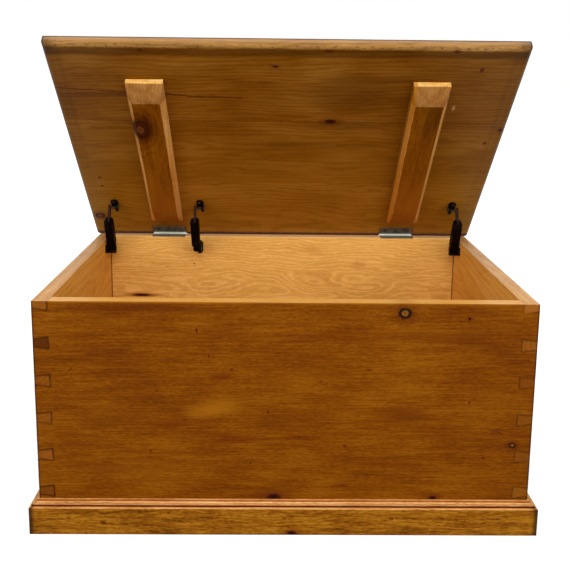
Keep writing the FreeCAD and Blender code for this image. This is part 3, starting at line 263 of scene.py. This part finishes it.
def pine(name, facing, origin, tones, wood, gains, seed, knots=(), lines=(), patches=(), zones=(),
         marks=None, rough=0.46, gloss=0.05):
    """Waxed or bare pine for one board, drawn in that board's own frame: soft streaks with a low
    sheen.  The gains say how far each part of the grain moves the colour.

    Patches lie in the stain, each a centre, radii, shade and amount.  Zones are other finishes and
    where they begin.  Marks are what wear and wax have left.  Knots are a centre, radii and look,
    and lines a start, end, width and amount."""
    material, add = new_material(name)
    place = board_space(add, facing, origin)
    late = growth_rings(add, place, wood, seed, knots)
    # late wood darkens, so the board starts a little paler and keeps its usual colour in the mean
    value = ragged(add, 0.5 + 0.2 * wood["late"], late, -wood["late"])
    layers = []
    for order, ((along, across, detail, coarse), gain) in enumerate(zip(GRAIN, gains)):
        layers.append(streaks(add, place, along, across, seed + 7 * order + 5, detail, coarse))
        value = ragged(add, value, layers[-1], gain)
    hair, fleck = layers[:2]
    parts = add("SeparateXYZ", [place])

    def finish(shades):
        return add("ValToRGB", [value], list(zip((0.0, 0.5, 1.0), shades)))

    colour = finish(tones)
    for centre, radii, shade, amount in patches:
        reach = ragged(add, from_spot(add, place, centre, radii), hair, 0.9)
        colour = wash(add, colour, shade, reach, *PATCH_EDGE, amount)
    for zone, shades in zones:
        colour = add("Mix", {0: zone(add, parts, layers), 6: colour, 7: finish(shades)}, **COLOUR)
    if marks:
        colour = marks(add, parts, colour, layers)
    height = add("Math", [hair, 0.6, late], operation="MULTIPLY_ADD")
    for centre, radii, look in knots:
        if look == "swirl":
            continue
        reach = ragged(add, from_spot(add, place, centre, radii), fleck, 0.5)
        if look != "dent":
            colour = wash(add, colour, HALO_TINT, reach, *HALO_EDGE, 0.6, blend_type="MULTIPLY")
        shade = add("ValToRGB", [reach], KNOT_LOOKS[look])
        colour = wash(add, colour, shade, reach, *KNOT_EDGE, 0.75 if look == "dent" else 1.0)
        if look in ("hole", "dent"):
            sunk = add("MapRange", [reach, *HOLLOW_EDGE, 0.0, 1.5], **SMOOTH)
            height = add("Math", [height, sunk], operation="SUBTRACT")
    for start, end, width, dark in lines:
        reach = ragged(add, from_line(add, place, start, end), fleck, width * 3)
        colour = wash(add, colour, CRACK_DARK, reach, width * 1.6, width * 0.4, dark)
    # the fibres stand a little proud and shine unevenly
    roughness = add("MapRange", [hair, 0.3, 0.7, rough - 0.06, rough + 0.1], **SMOOTH)
    bump = add("Bump", {"Height": height, "Strength": 0.2, "Distance": 0.3 * MM})
    shader = add("BsdfPrincipled", {"Base Color": colour, "Roughness": roughness, "Normal": bump,
                                    "Specular IOR Level": gloss})
    add("OutputMaterial", [shader])
    return material


# ------------------------------------------------------------------ where a finish begins and ends

def beyond(axis, low, high):
    """A finish that begins past a depth: axis 0 along, 1 across, 2 out of the show face."""
    return lambda add, parts, layers: add("MapRange", [parts.outputs[axis], low, high], **SMOOTH)


def at_ends(low, high):
    """A finish beyond a distance to both sides of a board's middle, along it."""
    def zone(add, parts, layers):
        return add("MapRange", [away(add, parts.outputs[0], 0.0), low, high], **SMOOTH)
    return zone


# The end grain of the front and back, that of the sides, and the outer face of a carcass board
end_faces = at_ends(HALF_LONG - 0.8, HALF_LONG - 0.3)
pin_faces = at_ends(-FRONT_FACE - 0.8, -FRONT_FACE - 0.2)
outer_face = beyond(2, 0.9 - WALL, 0.3 - WALL)


def lid_nosing(add, parts, layers):
    """The lid's front edge, rubbed pale over the rounding and a few mm on to the inner face."""
    across = ragged(add, parts.outputs[1], layers[1], 8.0)
    return add("MapRange", [across, LID_FREE_EDGE - 8.5, LID_FREE_EDGE - 6.0], **SMOOTH)


def lid_marks(add, parts, colour, layers):
    """Marks of use inside the lid: a darker border and a worn front edge; painted warm light nearer
    the hinges, a painted highlight on the front edge, and painted shade at the ends and at the
    hinges.
    """
    along, across, out = parts.outputs
    fleck, streak = layers[1:3]
    off_middle = away(add, along, 0.0)
    # a darker border, with a worn line in it, where the ends of the lid lie over the rim
    to_end = ragged(add, off_middle, fleck, 22.0)
    behind = add("MapRange", [across, LID_FREE_EDGE - 8.0, LID_FREE_EDGE - 12.0], **SMOOTH)
    colour = wash(add, colour, "#3A2610", to_end, HALF_LONG - 24.0, HALF_LONG + 6.0, 0.18, behind)
    off_line = away(add, to_end, HALF_LONG - 15.0)
    colour = wash(add, colour, "#2E1804", off_line, 6.0, 1.0, 0.2, behind)
    # the ends of the boards took more stain than their middle
    colour = wash(add, colour, "#38240C", away(add, along, -60.0), 150.0, 430.0, 0.2)
    # painted light: inside, nearer the hinges, the face is paler and more orange, as warm light
    # thrown up from the lit inside of the chest
    inside = add("MapRange", [out, -9.0, -3.0], **SMOOTH)
    colour = wash(add, colour, "#B47C14", across, 480.0, 40.0, 0.42, inside)
    # dark olive wax under the pale front band, with darker blots where the two meet
    edge = ragged(add, across, streak, 10.0)
    colour = wash(add, colour, "#331C00", away(add, edge, LID_FREE_EDGE - 17.0), 13.0, 5.0, 0.5)
    blots = ragged(add, away(add, across, LID_FREE_EDGE - 8.0), fleck, 16.0)
    colour = wash(add, colour, "#4A2A08", blots, 0.5, -3.0, 0.7)
    # the front edge is speckled, most of all low down
    handled = add("MapRange", [across, LID_FREE_EDGE - 10.0, LID_FREE_EDGE - 6.0], **SMOOTH)
    low_down = add("MapRange", [out, -9.0, -2.0, 0.3, 1.0], **SMOOTH)
    speckled = add("Math", [handled, low_down], operation="MULTIPLY")
    colour = wash(add, colour, "#4E300E", fleck, 0.51, 0.64, 0.7, speckled)
    # hands and wax have darkened the two front corners
    fore = add("MapRange", [across, LID_FREE_EDGE - 34.0, LID_FREE_EDGE - 16.0], **SMOOTH)
    corner = ragged(add, off_middle, fleck, 60.0)
    colour = wash(add, colour, "#3A2008", corner, LID_HALF - 30.0, LID_HALF - 8.0, 0.6, fore)
    # a painted highlight: the front edge is paler towards the top; it is also grey along the upper
    # arris
    front = add("MapRange", [across, LID_FREE_EDGE - 4.0, LID_FREE_EDGE - 1.5], **SMOOTH)
    colour = wash(add, colour, "#BC9A80", out, -8.0, -14.0, 0.26, front)
    colour = wash(add, colour, "#3E3024", out, 3.8 - LID_THICK, 2.2 - LID_THICK, 0.92, front)
    # painted shade along the rounded ends, and over the last few mm at the hinges, where the lid
    # meets the rim
    colour = wash(add, colour, "#2E1A0A", off_middle, LID_HALF - 4.6, LID_HALF - 2.4, 0.88)
    to_hinge = ragged(add, across, fleck, 8.0)
    return wash(add, colour, "#460E00", to_hinge, 11.0, 3.0, 0.95, inside)


# The pins of a side, in mm: the drop from the rim to the middle of the second, the pitch, and the
# width behind and in front
PIN_FIRST_DROP = 73.0
PIN_PITCH = 67.7
PIN_WIDE = 22.0
PIN_NARROW = 14.0
# How far from a joint, in mm, its glue line is full and where it ends
LINE_FULL = 0.8
LINE_END = 2.4
# The joints of the right corner are the tighter ones
JOINT_DARK = {"left": 0.85, "right": 0.42}
GLUE_LINE = "#240C00"


def joint_lines(add, parts, layers, depth, amount):
    """How dark the glue line round a pin is at a depth from the corner; in places it is rubbed."""
    level = add("Math", [parts.outputs[1], PIN_FIRST_DROP + PIN_PITCH * 0.5], operation="ADD")
    turns = add("Math", [level, PIN_PITCH], operation="FLOORED_MODULO")
    slope = (PIN_WIDE - PIN_NARROW) / 2 / WALL
    half = add("Math", [depth, slope, PIN_NARROW / 2], operation="MULTIPLY_ADD")
    gap = add("Math", [away(add, turns, PIN_PITCH / 2), half], operation="SUBTRACT")
    slanted = add("MapRange", [away(add, gap, 0.0), LINE_END, LINE_FULL], **SMOOTH)
    in_joint = add("MapRange", [depth, WALL + 0.8, WALL], **SMOOTH)
    slanted = add("Math", [slanted, in_joint], operation="MULTIPLY")
    upright = add("MapRange", [away(add, depth, WALL), LINE_END, LINE_FULL], **SMOOTH)
    beside = add("MapRange", [gap, 0.6, -0.2], **SMOOTH)
    upright = add("Math", [upright, beside], operation="MULTIPLY")
    line = add("Math", [slanted, upright], operation="MAXIMUM")
    faded = add("MapRange", [layers[3], 0.4, 0.6, 1.0, 0.45], **SMOOTH)
    faded = add("Math", [faded, amount], operation="MULTIPLY")
    return add("Math", [line, faded], operation="MULTIPLY")


def dovetail_lines(add, parts, colour, layers):
    """Glue lines on the front of the carcass, its darkened corners, painted shade along its foot
    above the plinth, and its rubbed rim.
    """
    along, across = parts.outputs[:2]
    depth = add("Math", [HALF_LONG, away(add, along, 0.0)], operation="SUBTRACT")
    colour = wash(add, colour, "#2E1200", depth, 4.5, 0.8, 0.7)
    # painted shade along the foot, where the front meets the plinth moulding
    foot = CARCASS_FOOT - RIM
    colour = wash(add, colour, "#2C1000", across, foot + 3.4, foot + 1.2, 0.6)
    colour = wash(add, colour, "#B4701C", across, -3.5, -0.5, 0.4)
    dark = add("MapRange", [along, -100.0, 100.0, JOINT_DARK["left"], JOINT_DARK["right"]])
    line = joint_lines(add, parts, layers, depth, dark)
    return add("Mix", {0: line, 6: colour, 7: linear(GLUE_LINE)}, **COLOUR)


def dress(piece_names, material):
    """Give pieces their material."""
    for name in piece_names:
        slots = nodes[name].data.materials
        slots.clear()
        slots.append(material)


# ------------------------------------------------------------------ the carcass

# Knots, holes and dents of the front: place from the middle of the rim and radii, in mm, and look
FRONT_KNOTS = [
    ((201, -17), (11.5, 10), "dead"),
    ((-19, -356.5), (17, 11), "hole"),
    ((311, -26), (3, 3), "hole"),
    ((367, -230), (4.2, 3.2), "live"),
    ((397, -255), (6.4, 5.2), "dead"),
    ((348, -279), (2.6, 2.6), "dent"),
    ((24, -241), (2.6, 2.2), "dent"),
    ((262, -355), (8, 4.5), "hole"),
    ((318, -177), (2, 3), "dent"),
    ((104, -258), (3, 2), "dent"),
    ((-60, -290), (1.8, 2.2), "dent"),
    ((60, -140), (2.2, 1.6), "dent"),
    ((-152, -50), (2.0, 4.5), "dent"),
    ((-132, -95), (1.8, 3.5), "dent"),
    ((-93, -119), (3.5, 1.8), "dent"),
    ((-234, -268), (2.6, 2.2), "dent"),
    ((-221, -158), (1.8, 2.4), "dent"),
    ((-30, -196), (1.6, 4.5), "dent"),
    ((142, -118), (4.5, 1.5), "dent"),
]
# Patches in its stain: place and radii, in mm, shade and amount
FRONT_PATCHES = [
    ((-142, -195), (42, 14), "#A86A10", 0.34),
    ((-112, -184), (38, 19), "#A86A10", 0.33),
    ((-250, -12), (180, 10), "#521C00", 0.6),
    ((205, -200), (56, 24), "#5A2400", 0.5),
    ((-10, -210), (90, 16), "#5A2400", 0.4),
    ((-110, -131), (28, 8), "#561600", 0.55),
    ((-74, -246), (54, 8), "#541600", 0.5),
    ((27, -243), (40, 7), "#541600", 0.55),
    ((-199, -220), (34, 8), "#5A1C00", 0.45),
    ((102, -332), (18, 4), "#521000", 0.55),
    ((190, -292), (76, 7), "#5A2000", 0.4),
    ((60, -60), (90, 12), "#5A2000", 0.35),
    ((-330, -300), (90, 14), "#5A2000", 0.35),
    ((300, -60), (150, 18), "#5E2800", 0.4),
    ((-300, -215), (110, 12), "#5E2800", 0.4),
]
dress(["front_board"], pine(
    "stained_pine_front", "front", (0, FRONT_FACE, RIM), STAINED,
    board(4.6, (120, -170, 0.02), (460, 70, 30), 0.13), (0.52, 0.85, 0.75, 0.7), seed=1.0,
    knots=FRONT_KNOTS, lines=[((-374, -127), (-365, -117), 1.1, 0.6)], patches=FRONT_PATCHES,
    zones=[(beyond(2, -0.8, -2.2), HONEY), (end_faces, END_GRAIN)], marks=dovetail_lines))


def back_corners(add, parts, colour, layers):
    """Shadow lines where the back meets the sides, and a painted highlight along the rim."""
    off_side = away(add, away(add, parts.outputs[0], 0.0), HALF_LONG - WALL - 1.0)
    colour = wash(add, colour, "#4A1E04", off_side, 1.8, 0.48, 0.85)
    # a painted highlight along the top of the back's inner face
    return wash(add, colour, "#F6D09A", parts.outputs[1], -2.6, -0.6, 0.6)


dress(["back_board"], pine(
    "honey_pine_back", "front", (0, BACK_INSIDE, RIM), HONEY,
    board(7.0, (-128, -26, 0.03), (210, 60, 46), -0.25), (0.32, 0.46, 0.3, 0.35), seed=2.0,
    knots=[((-333, -143), (20, 2.6), "hole"), ((-208, -66), (2.2, 1.8), "dent"),
           ((76, -111), (26, 12), "swirl"), ((-161, -118), (30, 10), "swirl"),
           ((185, -120), (28, 10), "swirl")],
    patches=[((180, -66), (24, 16), "#B8742C", 0.4), ((70, -30), (30, 13), "#C08034", 0.4),
             ((-333, -143), (42, 5.5), "#8A3C0C", 0.8)],
    zones=[(outer_face, STAINED), (end_faces, END_GRAIN)], marks=back_corners))


# Pins counted from the top, with the shade of each: some took the stain, others stayed pale
PIN_SHADES = {
    "left": [(0, "#B87830", 0.1), (1, "#3C1400", 0.75), (4, "#A8642C", 0.16), (5, "#5A2C04", 0.4)],
    "right": [(0, "#B07028", 0.34), (1, "#A86C28", 0.1), (2, "#6A3804", 0.3), (3, "#7A4808", 0.25),
              (4, "#6A3804", 0.3), (5, "#8A5814", 0.3)],
}


def pin_marks(side):
    """Glue lines round the pins of a side, and a shade for some of them, on the end grain alone."""
    def marks(add, parts, colour, layers):
        at_end = pin_faces(add, parts, layers)
        half = PIN_WIDE / 2
        for order, shade, amount in PIN_SHADES[side]:
            off = away(add, parts.outputs[1], -PIN_FIRST_DROP - PIN_PITCH * (order - 1))
            colour = wash(add, colour, shade, off, half + 3, half + 0.5, amount, at_end)
        depth = add("Math", [parts.outputs[2], WALL], operation="ADD")
        worn = add("MapRange", [depth, 4.5, 0.8, 0.0, 0.6], **SMOOTH)
        line = joint_lines(add, parts, layers, depth, JOINT_DARK[side])
        line = add("Math", [line, worn], operation="MAXIMUM")
        line = add("Math", [line, at_end], operation="MULTIPLY")
        return add("Mix", {0: line, 6: colour, 7: linear(GLUE_LINE)}, **COLOUR)
    return marks


# The inner sides take the honey painted darker as shade
for side, facing, way in (("left", "right", -1), ("right", "left", 1)):
    inner_face = way * (HALF_LONG - WALL)
    dress([side + "_side_board"], pine(
        f"honey_pine_{side}_side", facing, (inner_face, 0, RIM), SHADED_HONEY,
        board(9.0, (-70, -60, 0.03), late=0.2), (0.6, 0.6, 0.5, 0.6), seed=5.0 + len(side),
        zones=[(beyond(1, -1.8, -0.6), RIM_TONES), (outer_face, STAINED), (pin_faces, END_GRAIN)],
        marks=pin_marks(side)))

# The floor boards take the same honey painted darker as shade
dress(["floor_board_front", "floor_board_middle", "floor_board_back"], pine(
    "bare_pine_floor", "up", (0, 0, 19), SHADED_HONEY, board(5.5, (60, -80, 0.02)),
    (0.9, 0.8, 0.6, 0.5), seed=9.0, zones=[(beyond(2, -15.0, -15.8), BARE)], rough=0.6))

# ------------------------------------------------------------------ the plinth

# Painted shade up the moulding, as tints by height in mm above its foot: square face, quirk, curve,
# step and flat top; darkest in the quirk and under the step
MOULDING_HIGH = 12.0
MOULDING_SHADE = [
    (0.0, "#FFFFFF"), (0.5, "#FFFFFF"), (0.85, "#FFF0E0"), (2.0, "#F0D8C0"), (2.6, "#6A3818"),
    (4.2, "#401A06"), (5.2, "#8A5430"), (6.0, "#E4D4C4"), (7.2, "#FFFFFF"), (8.4, "#E0C4AC"),
    (9.2, "#A85C34"), (10.2, "#C89870"), (11.6, "#CCA480"), (12.0, "#F4E4D4"),
]


def moulding_lines(add, parts, colour, layers):
    """Painted shade in the quirk and under the step, the ends darker towards the corners, and a dark
    lower edge.
    """
    along, across = parts.outputs[:2]
    colour = wash(add, colour, "#2E1A04", across, 2.4, 0.2, 0.5)
    # painted shade: the tints darken the quirk and the underside of the step
    height = add("MapRange", [across, PLINTH_TOP - MOULDING_HIGH, PLINTH_TOP])
    stops = [(level / MOULDING_HIGH, shade) for level, shade in MOULDING_SHADE]
    painted_shade = add("ValToRGB", [height], stops)
    colour = add("Mix", {0: 1.0, 6: colour, 7: painted_shade}, **COLOUR, blend_type="MULTIPLY")
    to_end = ragged(add, away(add, along, 0.0), layers[1], 9.0)
    return wash(add, colour, "#2A1602", to_end, HALF_LONG + 4, HALF_LONG + 13, 0.85)


moulding_zone = beyond(1, PLINTH_TOP - MOULDING_HIGH + 0.4, PLINTH_TOP - MOULDING_HIGH + 1.0)
PLINTH_SIDES = {
    "plinth_front": ("front", (0, FRONT_FACE, 0), [
        ((13, 3.5), (9, 5), "hole"), ((-202, 41), (3, 1.6), "dent"), ((-316, 22), (5, 3), "dent")]),
    "plinth_back": ("back", (0, -FRONT_FACE, 0), [((120, 18), (8, 6), "live")]),
    "plinth_left": ("left", (-HALF_LONG, 0, 0), []),
    "plinth_right": ("right", (HALF_LONG, 0, 0), [((60, 30), (7, 5), "dead")]),
}
for order, (name, (facing, origin, knots)) in enumerate(PLINTH_SIDES.items()):
    dress([name], pine(
        f"stained_pine_{name}", facing, origin, PLINTH,
        board(4.6, (90, -50, 0.02), (180, 50, 26), 0.25), (0.8, 1.6, 1.5, 0.9),
        seed=12.0 + order, knots=knots, zones=[(moulding_zone, MOULDING_SHEEN)], marks=moulding_lines))

# ------------------------------------------------------------------ the lid

LID_ORIGIN = HINGE / MM
SEAM = LID_HALF - 5.0
FRONT_LINE = ((-SEAM, LID_FRONT_JOINT), (SEAM, LID_FRONT_JOINT), 0.8, 0.5)
BACK_LINE = ((-SEAM, LID_BACK_JOINT), (SEAM, LID_BACK_JOINT), 0.6, 0.25)
LID_BOARDS = {
    "lid_board_front": dict(
        wood=board(8.5, (620, -70, 0.03), (300, 60, 40), 0.24), seed=21.0,
        gains=(0.26, 0.34, 0.42, 0.9),
        knots=[((-22, 553), (6, 2.6), "hole"), ((88, 404), (12, 4.6), "hole"),
               ((359, 549), (4, 6), "dent"), ((-266, 590), (5, 3.5), "dent"),
               ((75, 592), (10, 3), "dent"), ((304, 594), (6, 4), "dent")],
        # the seam, and an old crack across the left half
        lines=[FRONT_LINE, ((-436, 491), (-308, 481), 1.5, 0.75),
               ((-308, 481), (-232, 478.5), 1.4, 0.6), ((-232, 478.5), (-185, 471), 1.7, 0.85),
               ((-185, 471), (-85, 468), 1.6, 0.75)],
        patches=[((-330, 474), (150, 9), "#4E2400", 0.6), ((200, 520), (150, 12), "#562C00", 0.45),
                 ((125, 480), (110, 66), "#4C2600", 0.5), ((325, 445), (4, 9), "#CC9A60", 0.9)]),
    "lid_board_middle": dict(
        wood=board(8.5, (300, -75, 0.02), (300, 60, 44), 0.26), seed=24.0,
        gains=(0.26, 0.34, 0.42, 0.9),
        knots=[((88, 400), (12, 4.6), "hole"), ((431, 382), (4, 5), "hole"),
               ((408, 341), (4, 5), "dent"), ((-399, 213.6), (4, 3.5), "dent")],
        lines=[FRONT_LINE, BACK_LINE],
        patches=[((120, 392), (100, 22), "#4A2400", 0.5), ((40, 330), (170, 14), "#5A2E00", 0.4),
                 ((330, 290), (90, 12), "#5A2E00", 0.4)]),
    "lid_board_back": dict(
        wood=board(12.0, (40, -38, 0.05), (220, 60, 60), 0.5), seed=27.0,
        gains=(0.34, 0.5, 0.7, 1.1), lines=[BACK_LINE],
        knots=[((-421, 70), (11, 9.5), "rimmed"), ((-398, 184), (3, 3), "dent")]),
}
lid_outer_face = beyond(2, 0.8 - LID_THICK, 0.1 - LID_THICK)
for name, look in LID_BOARDS.items():
    dress([name], pine(
        f"stained_pine_{name}", "lid", LID_ORIGIN, LID_INSIDE, marks=lid_marks, gloss=0.1,
        zones=[(lid_nosing, NOSING), (lid_outer_face, STAINED)], **look))

# The battens, in mm: half the flat, half the foot, and where the slope and the square end begin
BATTEN_HALF_FLAT = 27.1
BATTEN_HALF_FOOT = 35.0
BATTEN_SLOPE = 472.4
BATTEN_FRONT = 516.0


def batten_zone(middle, part):
    """The bevels along a batten, or the slope of its front end, or the square end before it."""
    def zone(add, parts, layers):
        if part == "bevels":
            across = ragged(add, away(add, parts.outputs[1], -middle), layers[1], 1.6)
            low, high = BATTEN_HALF_FLAT - 0.5, BATTEN_HALF_FLAT + 0.3
            return add("MapRange", [across, low, high], **SMOOTH)
        start = BATTEN_SLOPE if part == "slope" else BATTEN_FRONT - 0.6
        return add("MapRange", [parts.outputs[0], start - 0.4, start + 0.4], **SMOOTH)
    return zone


def batten_wax(middle, amber):
    """Old wax: an amber left bevel, and a thin dark line where the batten meets the lid; and painted
    warm light, paler and more orange towards the hinges.
    """
    def marks(add, parts, colour, layers):
        along, across = parts.outputs[:2]
        # painted light: paler and more orange towards the hinges, as warm light thrown up from inside
        # the chest
        colour = wash(add, colour, "#B4701C", along, 330.0, 120.0, 0.4)
        leftward = add("Math", [across, middle], operation="ADD")
        bevel = BATTEN_HALF_FLAT
        colour = wash(add, colour, "#B87408", leftward, bevel, bevel + 1.0, amber)
        foot = BATTEN_HALF_FOOT
        return wash(add, colour, "#4E2006", leftward, foot - 1.6, foot, 0.6)
    return marks


# Each batten: how amber its left bevel is, its knots, and the dark patches in its stain
BATTENS = [
    ("left", 0.0, [((398, 286), (28, 18), "ringed")],
     [((402, 278), (46, 27), "#2A0C00", 0.82)]),
    ("right", 0.7, [], [((440, -285), (70, 30), "#3E2402", 0.5)]),
]
for side, amber, knots, shadows in BATTENS:
    low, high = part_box("batten_" + side)
    middle = (low.x + high.x) / 2 / MM
    dress(["batten_" + side], pine(
        f"stained_pine_{side}_batten", "batten", LID_ORIGIN, BATTEN,
        board(11.0, (-middle, -60, 0.02), late=0.2), (0.85, 0.75, 0.6, 0.7),
        seed=31.0 + len(side), knots=knots, patches=shadows,
        zones=[(batten_zone(middle, "bevels"), WORN), (batten_zone(middle, "slope"), SAWN_END),
               (batten_zone(middle, "end"), HONEY)], marks=batten_wax(middle, amber)))


# ------------------------------------------------------------------ metals

# Radius of a hinge barrel, in mm
BARREL = 5.5


def metal(name, base, shade, rough, metallic=1.0, grain=(30.0, 0.8), bump=0.1, wear=None,
          barrel_highlight=None, gloss=0.5):
    """A metal surface with drawn-out scratches, cloudy tarnish and, if wanted, a worn tint; for a
    hinge, painted shade in the crease beside its barrel and a painted highlight on the barrel.
    """
    material, add = new_material(name)
    place = board_space(add, "up", HINGE / MM)
    scratches = streaks(add, place, grain[0], grain[1], 3.0, 4.0, 0.7)
    clouds = streaks(add, place, 14, 14, 8.0, 3.0)
    colour = wash(add, linear(base), shade, clouds, 0.4, 0.65)
    if wear:
        colour = wash(add, colour, wear, scratches, 0.56, 0.68, 0.8)
    if barrel_highlight:
        # painted shade in the crease beside the barrel, and a painted highlight over the barrel
        # itself
        reach = add("VectorMath", [place, (0, 1, 1)], operation="MULTIPLY")
        reach = add("VectorMath", [reach], operation="LENGTH").outputs["Value"]
        colour = wash(add, colour, "#1C1812", away(add, reach, BARREL + 1.6), 2.2, 0.6, 0.8)
        colour = wash(add, colour, barrel_highlight, reach, BARREL + 0.4, BARREL - 0.4)
    roughness = add("MapRange", [scratches, 0.3, 0.7, rough - 0.08, rough + 0.12], **SMOOTH)
    normal = add("Bump", {"Height": scratches, "Strength": bump, "Distance": 0.2 * MM})
    shader = add("BsdfPrincipled", {"Base Color": colour, "Metallic": metallic,
                                    "Roughness": roughness, "Normal": normal,
                                    "Specular IOR Level": gloss})
    add("OutputMaterial", [shader])
    return material


# Rolled steel that has lost its polish: dark grey-green leaves, with a painted highlight along the
# barrel
hinge_steel = metal("tarnished_rolled_steel", "#82745F", "#625543", 0.34, metallic=0.4,
                    wear="#8E8472", barrel_highlight="#C4C6B8")
# Turned steel screws, a little brighter than the leaves
screw_steel = metal("turned_steel", "#77746A", "#4A463E", 0.38, grain=(3.0, 3.0))
# Cut nails, their heads hidden under stain and brown wax
nail_iron = metal("waxed_iron", "#6A3E0C", "#4E2A06", 0.6, metallic=0.0, grain=(3.0, 3.0),
                  gloss=0.1)
# Pressed steel under a thin black coat that has rubbed brown at the high places
black_coat = metal("black_coated_steel", "#050302", "#0C0604", 0.5, metallic=0.0, grain=(4.0, 3.0),
                   bump=0.3, wear="#3E2416", gloss=0.03)
# The thin upper links, where the coat has gone and the steel is brown
brown_steel = metal("browned_steel", "#321608", "#1C0A04", 0.5, metallic=0.0, grain=(3.0, 3.0),
                    gloss=0.08)
# Pivot pins and spring washers: plain steel that old oil has darkened
pivot_steel = metal("darkened_steel", "#2A2624", "#141010", 0.42, metallic=0.5, grain=(3.0, 3.0),
                    gloss=0.3)

for name in nodes:
    if name.startswith("hinge_") and "screws" not in name:
        dress([name], hinge_steel)
    elif name.endswith("_screws"):
        dress([name], screw_steel)
    elif name.endswith("_nails"):
        dress([name], nail_iron)
    elif name.endswith("_arm"):
        dress([name], brown_steel)
    elif name.startswith("stay_"):
        coated = name.endswith(("_base", "_housing", "_cover", "_lid_foot"))
        dress([name], black_coat if coated else pivot_steel)

# ------------------------------------------------------------------ softened edges

def soften(names, width):
    """Round the sharp edges to a width in mm, as planing, wear and wax do."""
    for name in names:
        piece = nodes[name]
        weld = piece.modifiers.new("joined faces", "WELD")
        weld.merge_threshold = 0.01 * MM
        edge = piece.modifiers.new("softened edges", "BEVEL")
        edge.width = width * MM
        edge.segments = 2
        edge.limit_method = "ANGLE"
        edge.angle_limit = math.radians(35)
        edge.harden_normals = False
        smooth = piece.modifiers.new("flat faces", "WEIGHTED_NORMAL")
        smooth.keep_sharp = False


soften(["front_board", "left_side_board", "right_side_board"], 0.5)
soften(["batten_left", "batten_right"], 0.8)

# ------------------------------------------------------------------ floor, light and camera

# In metres: the floor's reach, how far it lies under the plinth, and where the chest's shadow ends
FLOOR_HALF = 40.0
FLOOR_GAP = 0.0003
SHADOW_REACH = (0.5, 1.5)


def white_floor():
    """A white floor, a little below full white about the chest, where its shadow falls."""
    mesh = bpy.data.meshes.new("floor")
    build = bmesh.new()
    bmesh.ops.create_grid(build, x_segments=1, y_segments=1, size=FLOOR_HALF)
    build.to_mesh(mesh)
    build.free()
    floor = bpy.data.objects.new("floor", mesh)
    floor.location.z = -FLOOR_GAP
    bpy.context.scene.collection.objects.link(floor)
    material, add = new_material("white_paper")
    path = add("LightPath")
    rays = [path.outputs["Is Camera Ray"], path.outputs["Is Glossy Ray"]]
    seen = add("Math", rays, operation="MAXIMUM")
    place = add("TexCoord").outputs["Object"]
    far = add("VectorMath", [place], operation="LENGTH").outputs["Value"]
    glow = add("MapRange", [far, *SHADOW_REACH, 0.8, 1.0], **SMOOTH)
    seen = add("Math", [seen, glow], operation="MULTIPLY")
    paper = add("BsdfDiffuse", {"Color": linear("#969696")})
    glow = add("Emission", {"Color": (1, 1, 1, 1), "Strength": seen})
    add("OutputMaterial", [add("AddShader", [paper, glow])])
    mesh.materials.append(material)


def room_light(strength):
    """An even white room: full white where it is seen, softer where it lights the chest."""
    world = bpy.data.worlds.new("white_room")
    bpy.context.scene.world = world
    world.use_nodes = True
    world.node_tree.nodes.clear()
    add = functools.partial(node, world.node_tree)
    path = add("LightPath")
    rays = [path.outputs["Is Camera Ray"], path.outputs["Is Glossy Ray"]]
    seen = add("Math", rays, operation="MAXIMUM")
    seen = add("Math", [seen, path.outputs["Is Transmission Ray"]], operation="MAXIMUM")
    level = add("MapRange", [seen, 0.0, 1.0, strength, 1.0])
    add("OutputWorld", [add("Background", {"Color": (1, 1, 1, 1), "Strength": level})])


# The middle of the chest, in metres
LAMP_TARGET = Vector((0, 0, 0.4))


def area_lamp(name, place, size, power):
    """A soft lamp that points at the middle of the chest."""
    light = bpy.data.lights.new(name, "AREA")
    light.shape = "RECTANGLE"
    light.size, light.size_y = size
    light.energy = power
    lamp = bpy.data.objects.new(name, light)
    lamp.location = place
    lamp.rotation_euler = (LAMP_TARGET - Vector(place)).to_track_quat("-Z", "Y").to_euler()
    bpy.context.scene.collection.objects.link(lamp)


# The lamps: place and size in metres, and power in watts
LAMPS = [
    ("left_window", (-2.3, -2.6, 1.25), (1.8, 1.5), 31),
    ("right_window", (2.3, -2.6, 1.25), (1.8, 1.5), 31),
    ("high_front_panel", (0, -2.7, 2.5), (2.8, 1.4), 60),
    ("ceiling_panel", (0, -0.8, 3.2), (2.4, 2.0), 28),
    ("rear_panel", (0, 3.2, 1.7), (2.8, 1.6), 28),
]
ROOM_STRENGTH = 0.46

white_floor()
room_light(ROOM_STRENGTH)
for lamp in LAMPS:
    area_lamp(*lamp)


def camera():
    """At the height of the open lid, 1.4 m before the chest, looking a little down."""
    place = (-0.0249, -1.6592, 0.8094)
    # in radians: turned to the right, tipped down and leaned over
    yaw, pitch, roll = 0.014, 0.183, 0.011
    level_ahead = Vector((math.sin(yaw), math.cos(yaw), 0))
    ahead = level_ahead * math.cos(pitch) - Z * math.sin(pitch)
    aside = Vector((math.cos(yaw), -math.sin(yaw), 0))
    above = aside.cross(ahead)
    right = aside * math.cos(roll) + above * math.sin(roll)
    up = above * math.cos(roll) - aside * math.sin(roll)
    eye = bpy.data.cameras.new("camera")
    eye.sensor_width = 36.0
    eye.lens = 53.0
    eye.shift_x = 0.0016
    eye.shift_y = -0.1104
    holder = bpy.data.objects.new("camera", eye)
    turn = Matrix((right, up, -ahead)).transposed().to_4x4()
    holder.matrix_world = Matrix.Translation(place) @ turn
    bpy.context.scene.collection.objects.link(holder)
    bpy.context.scene.camera = holder


camera()
bpy.context.scene.view_settings.view_transform = "Standard"
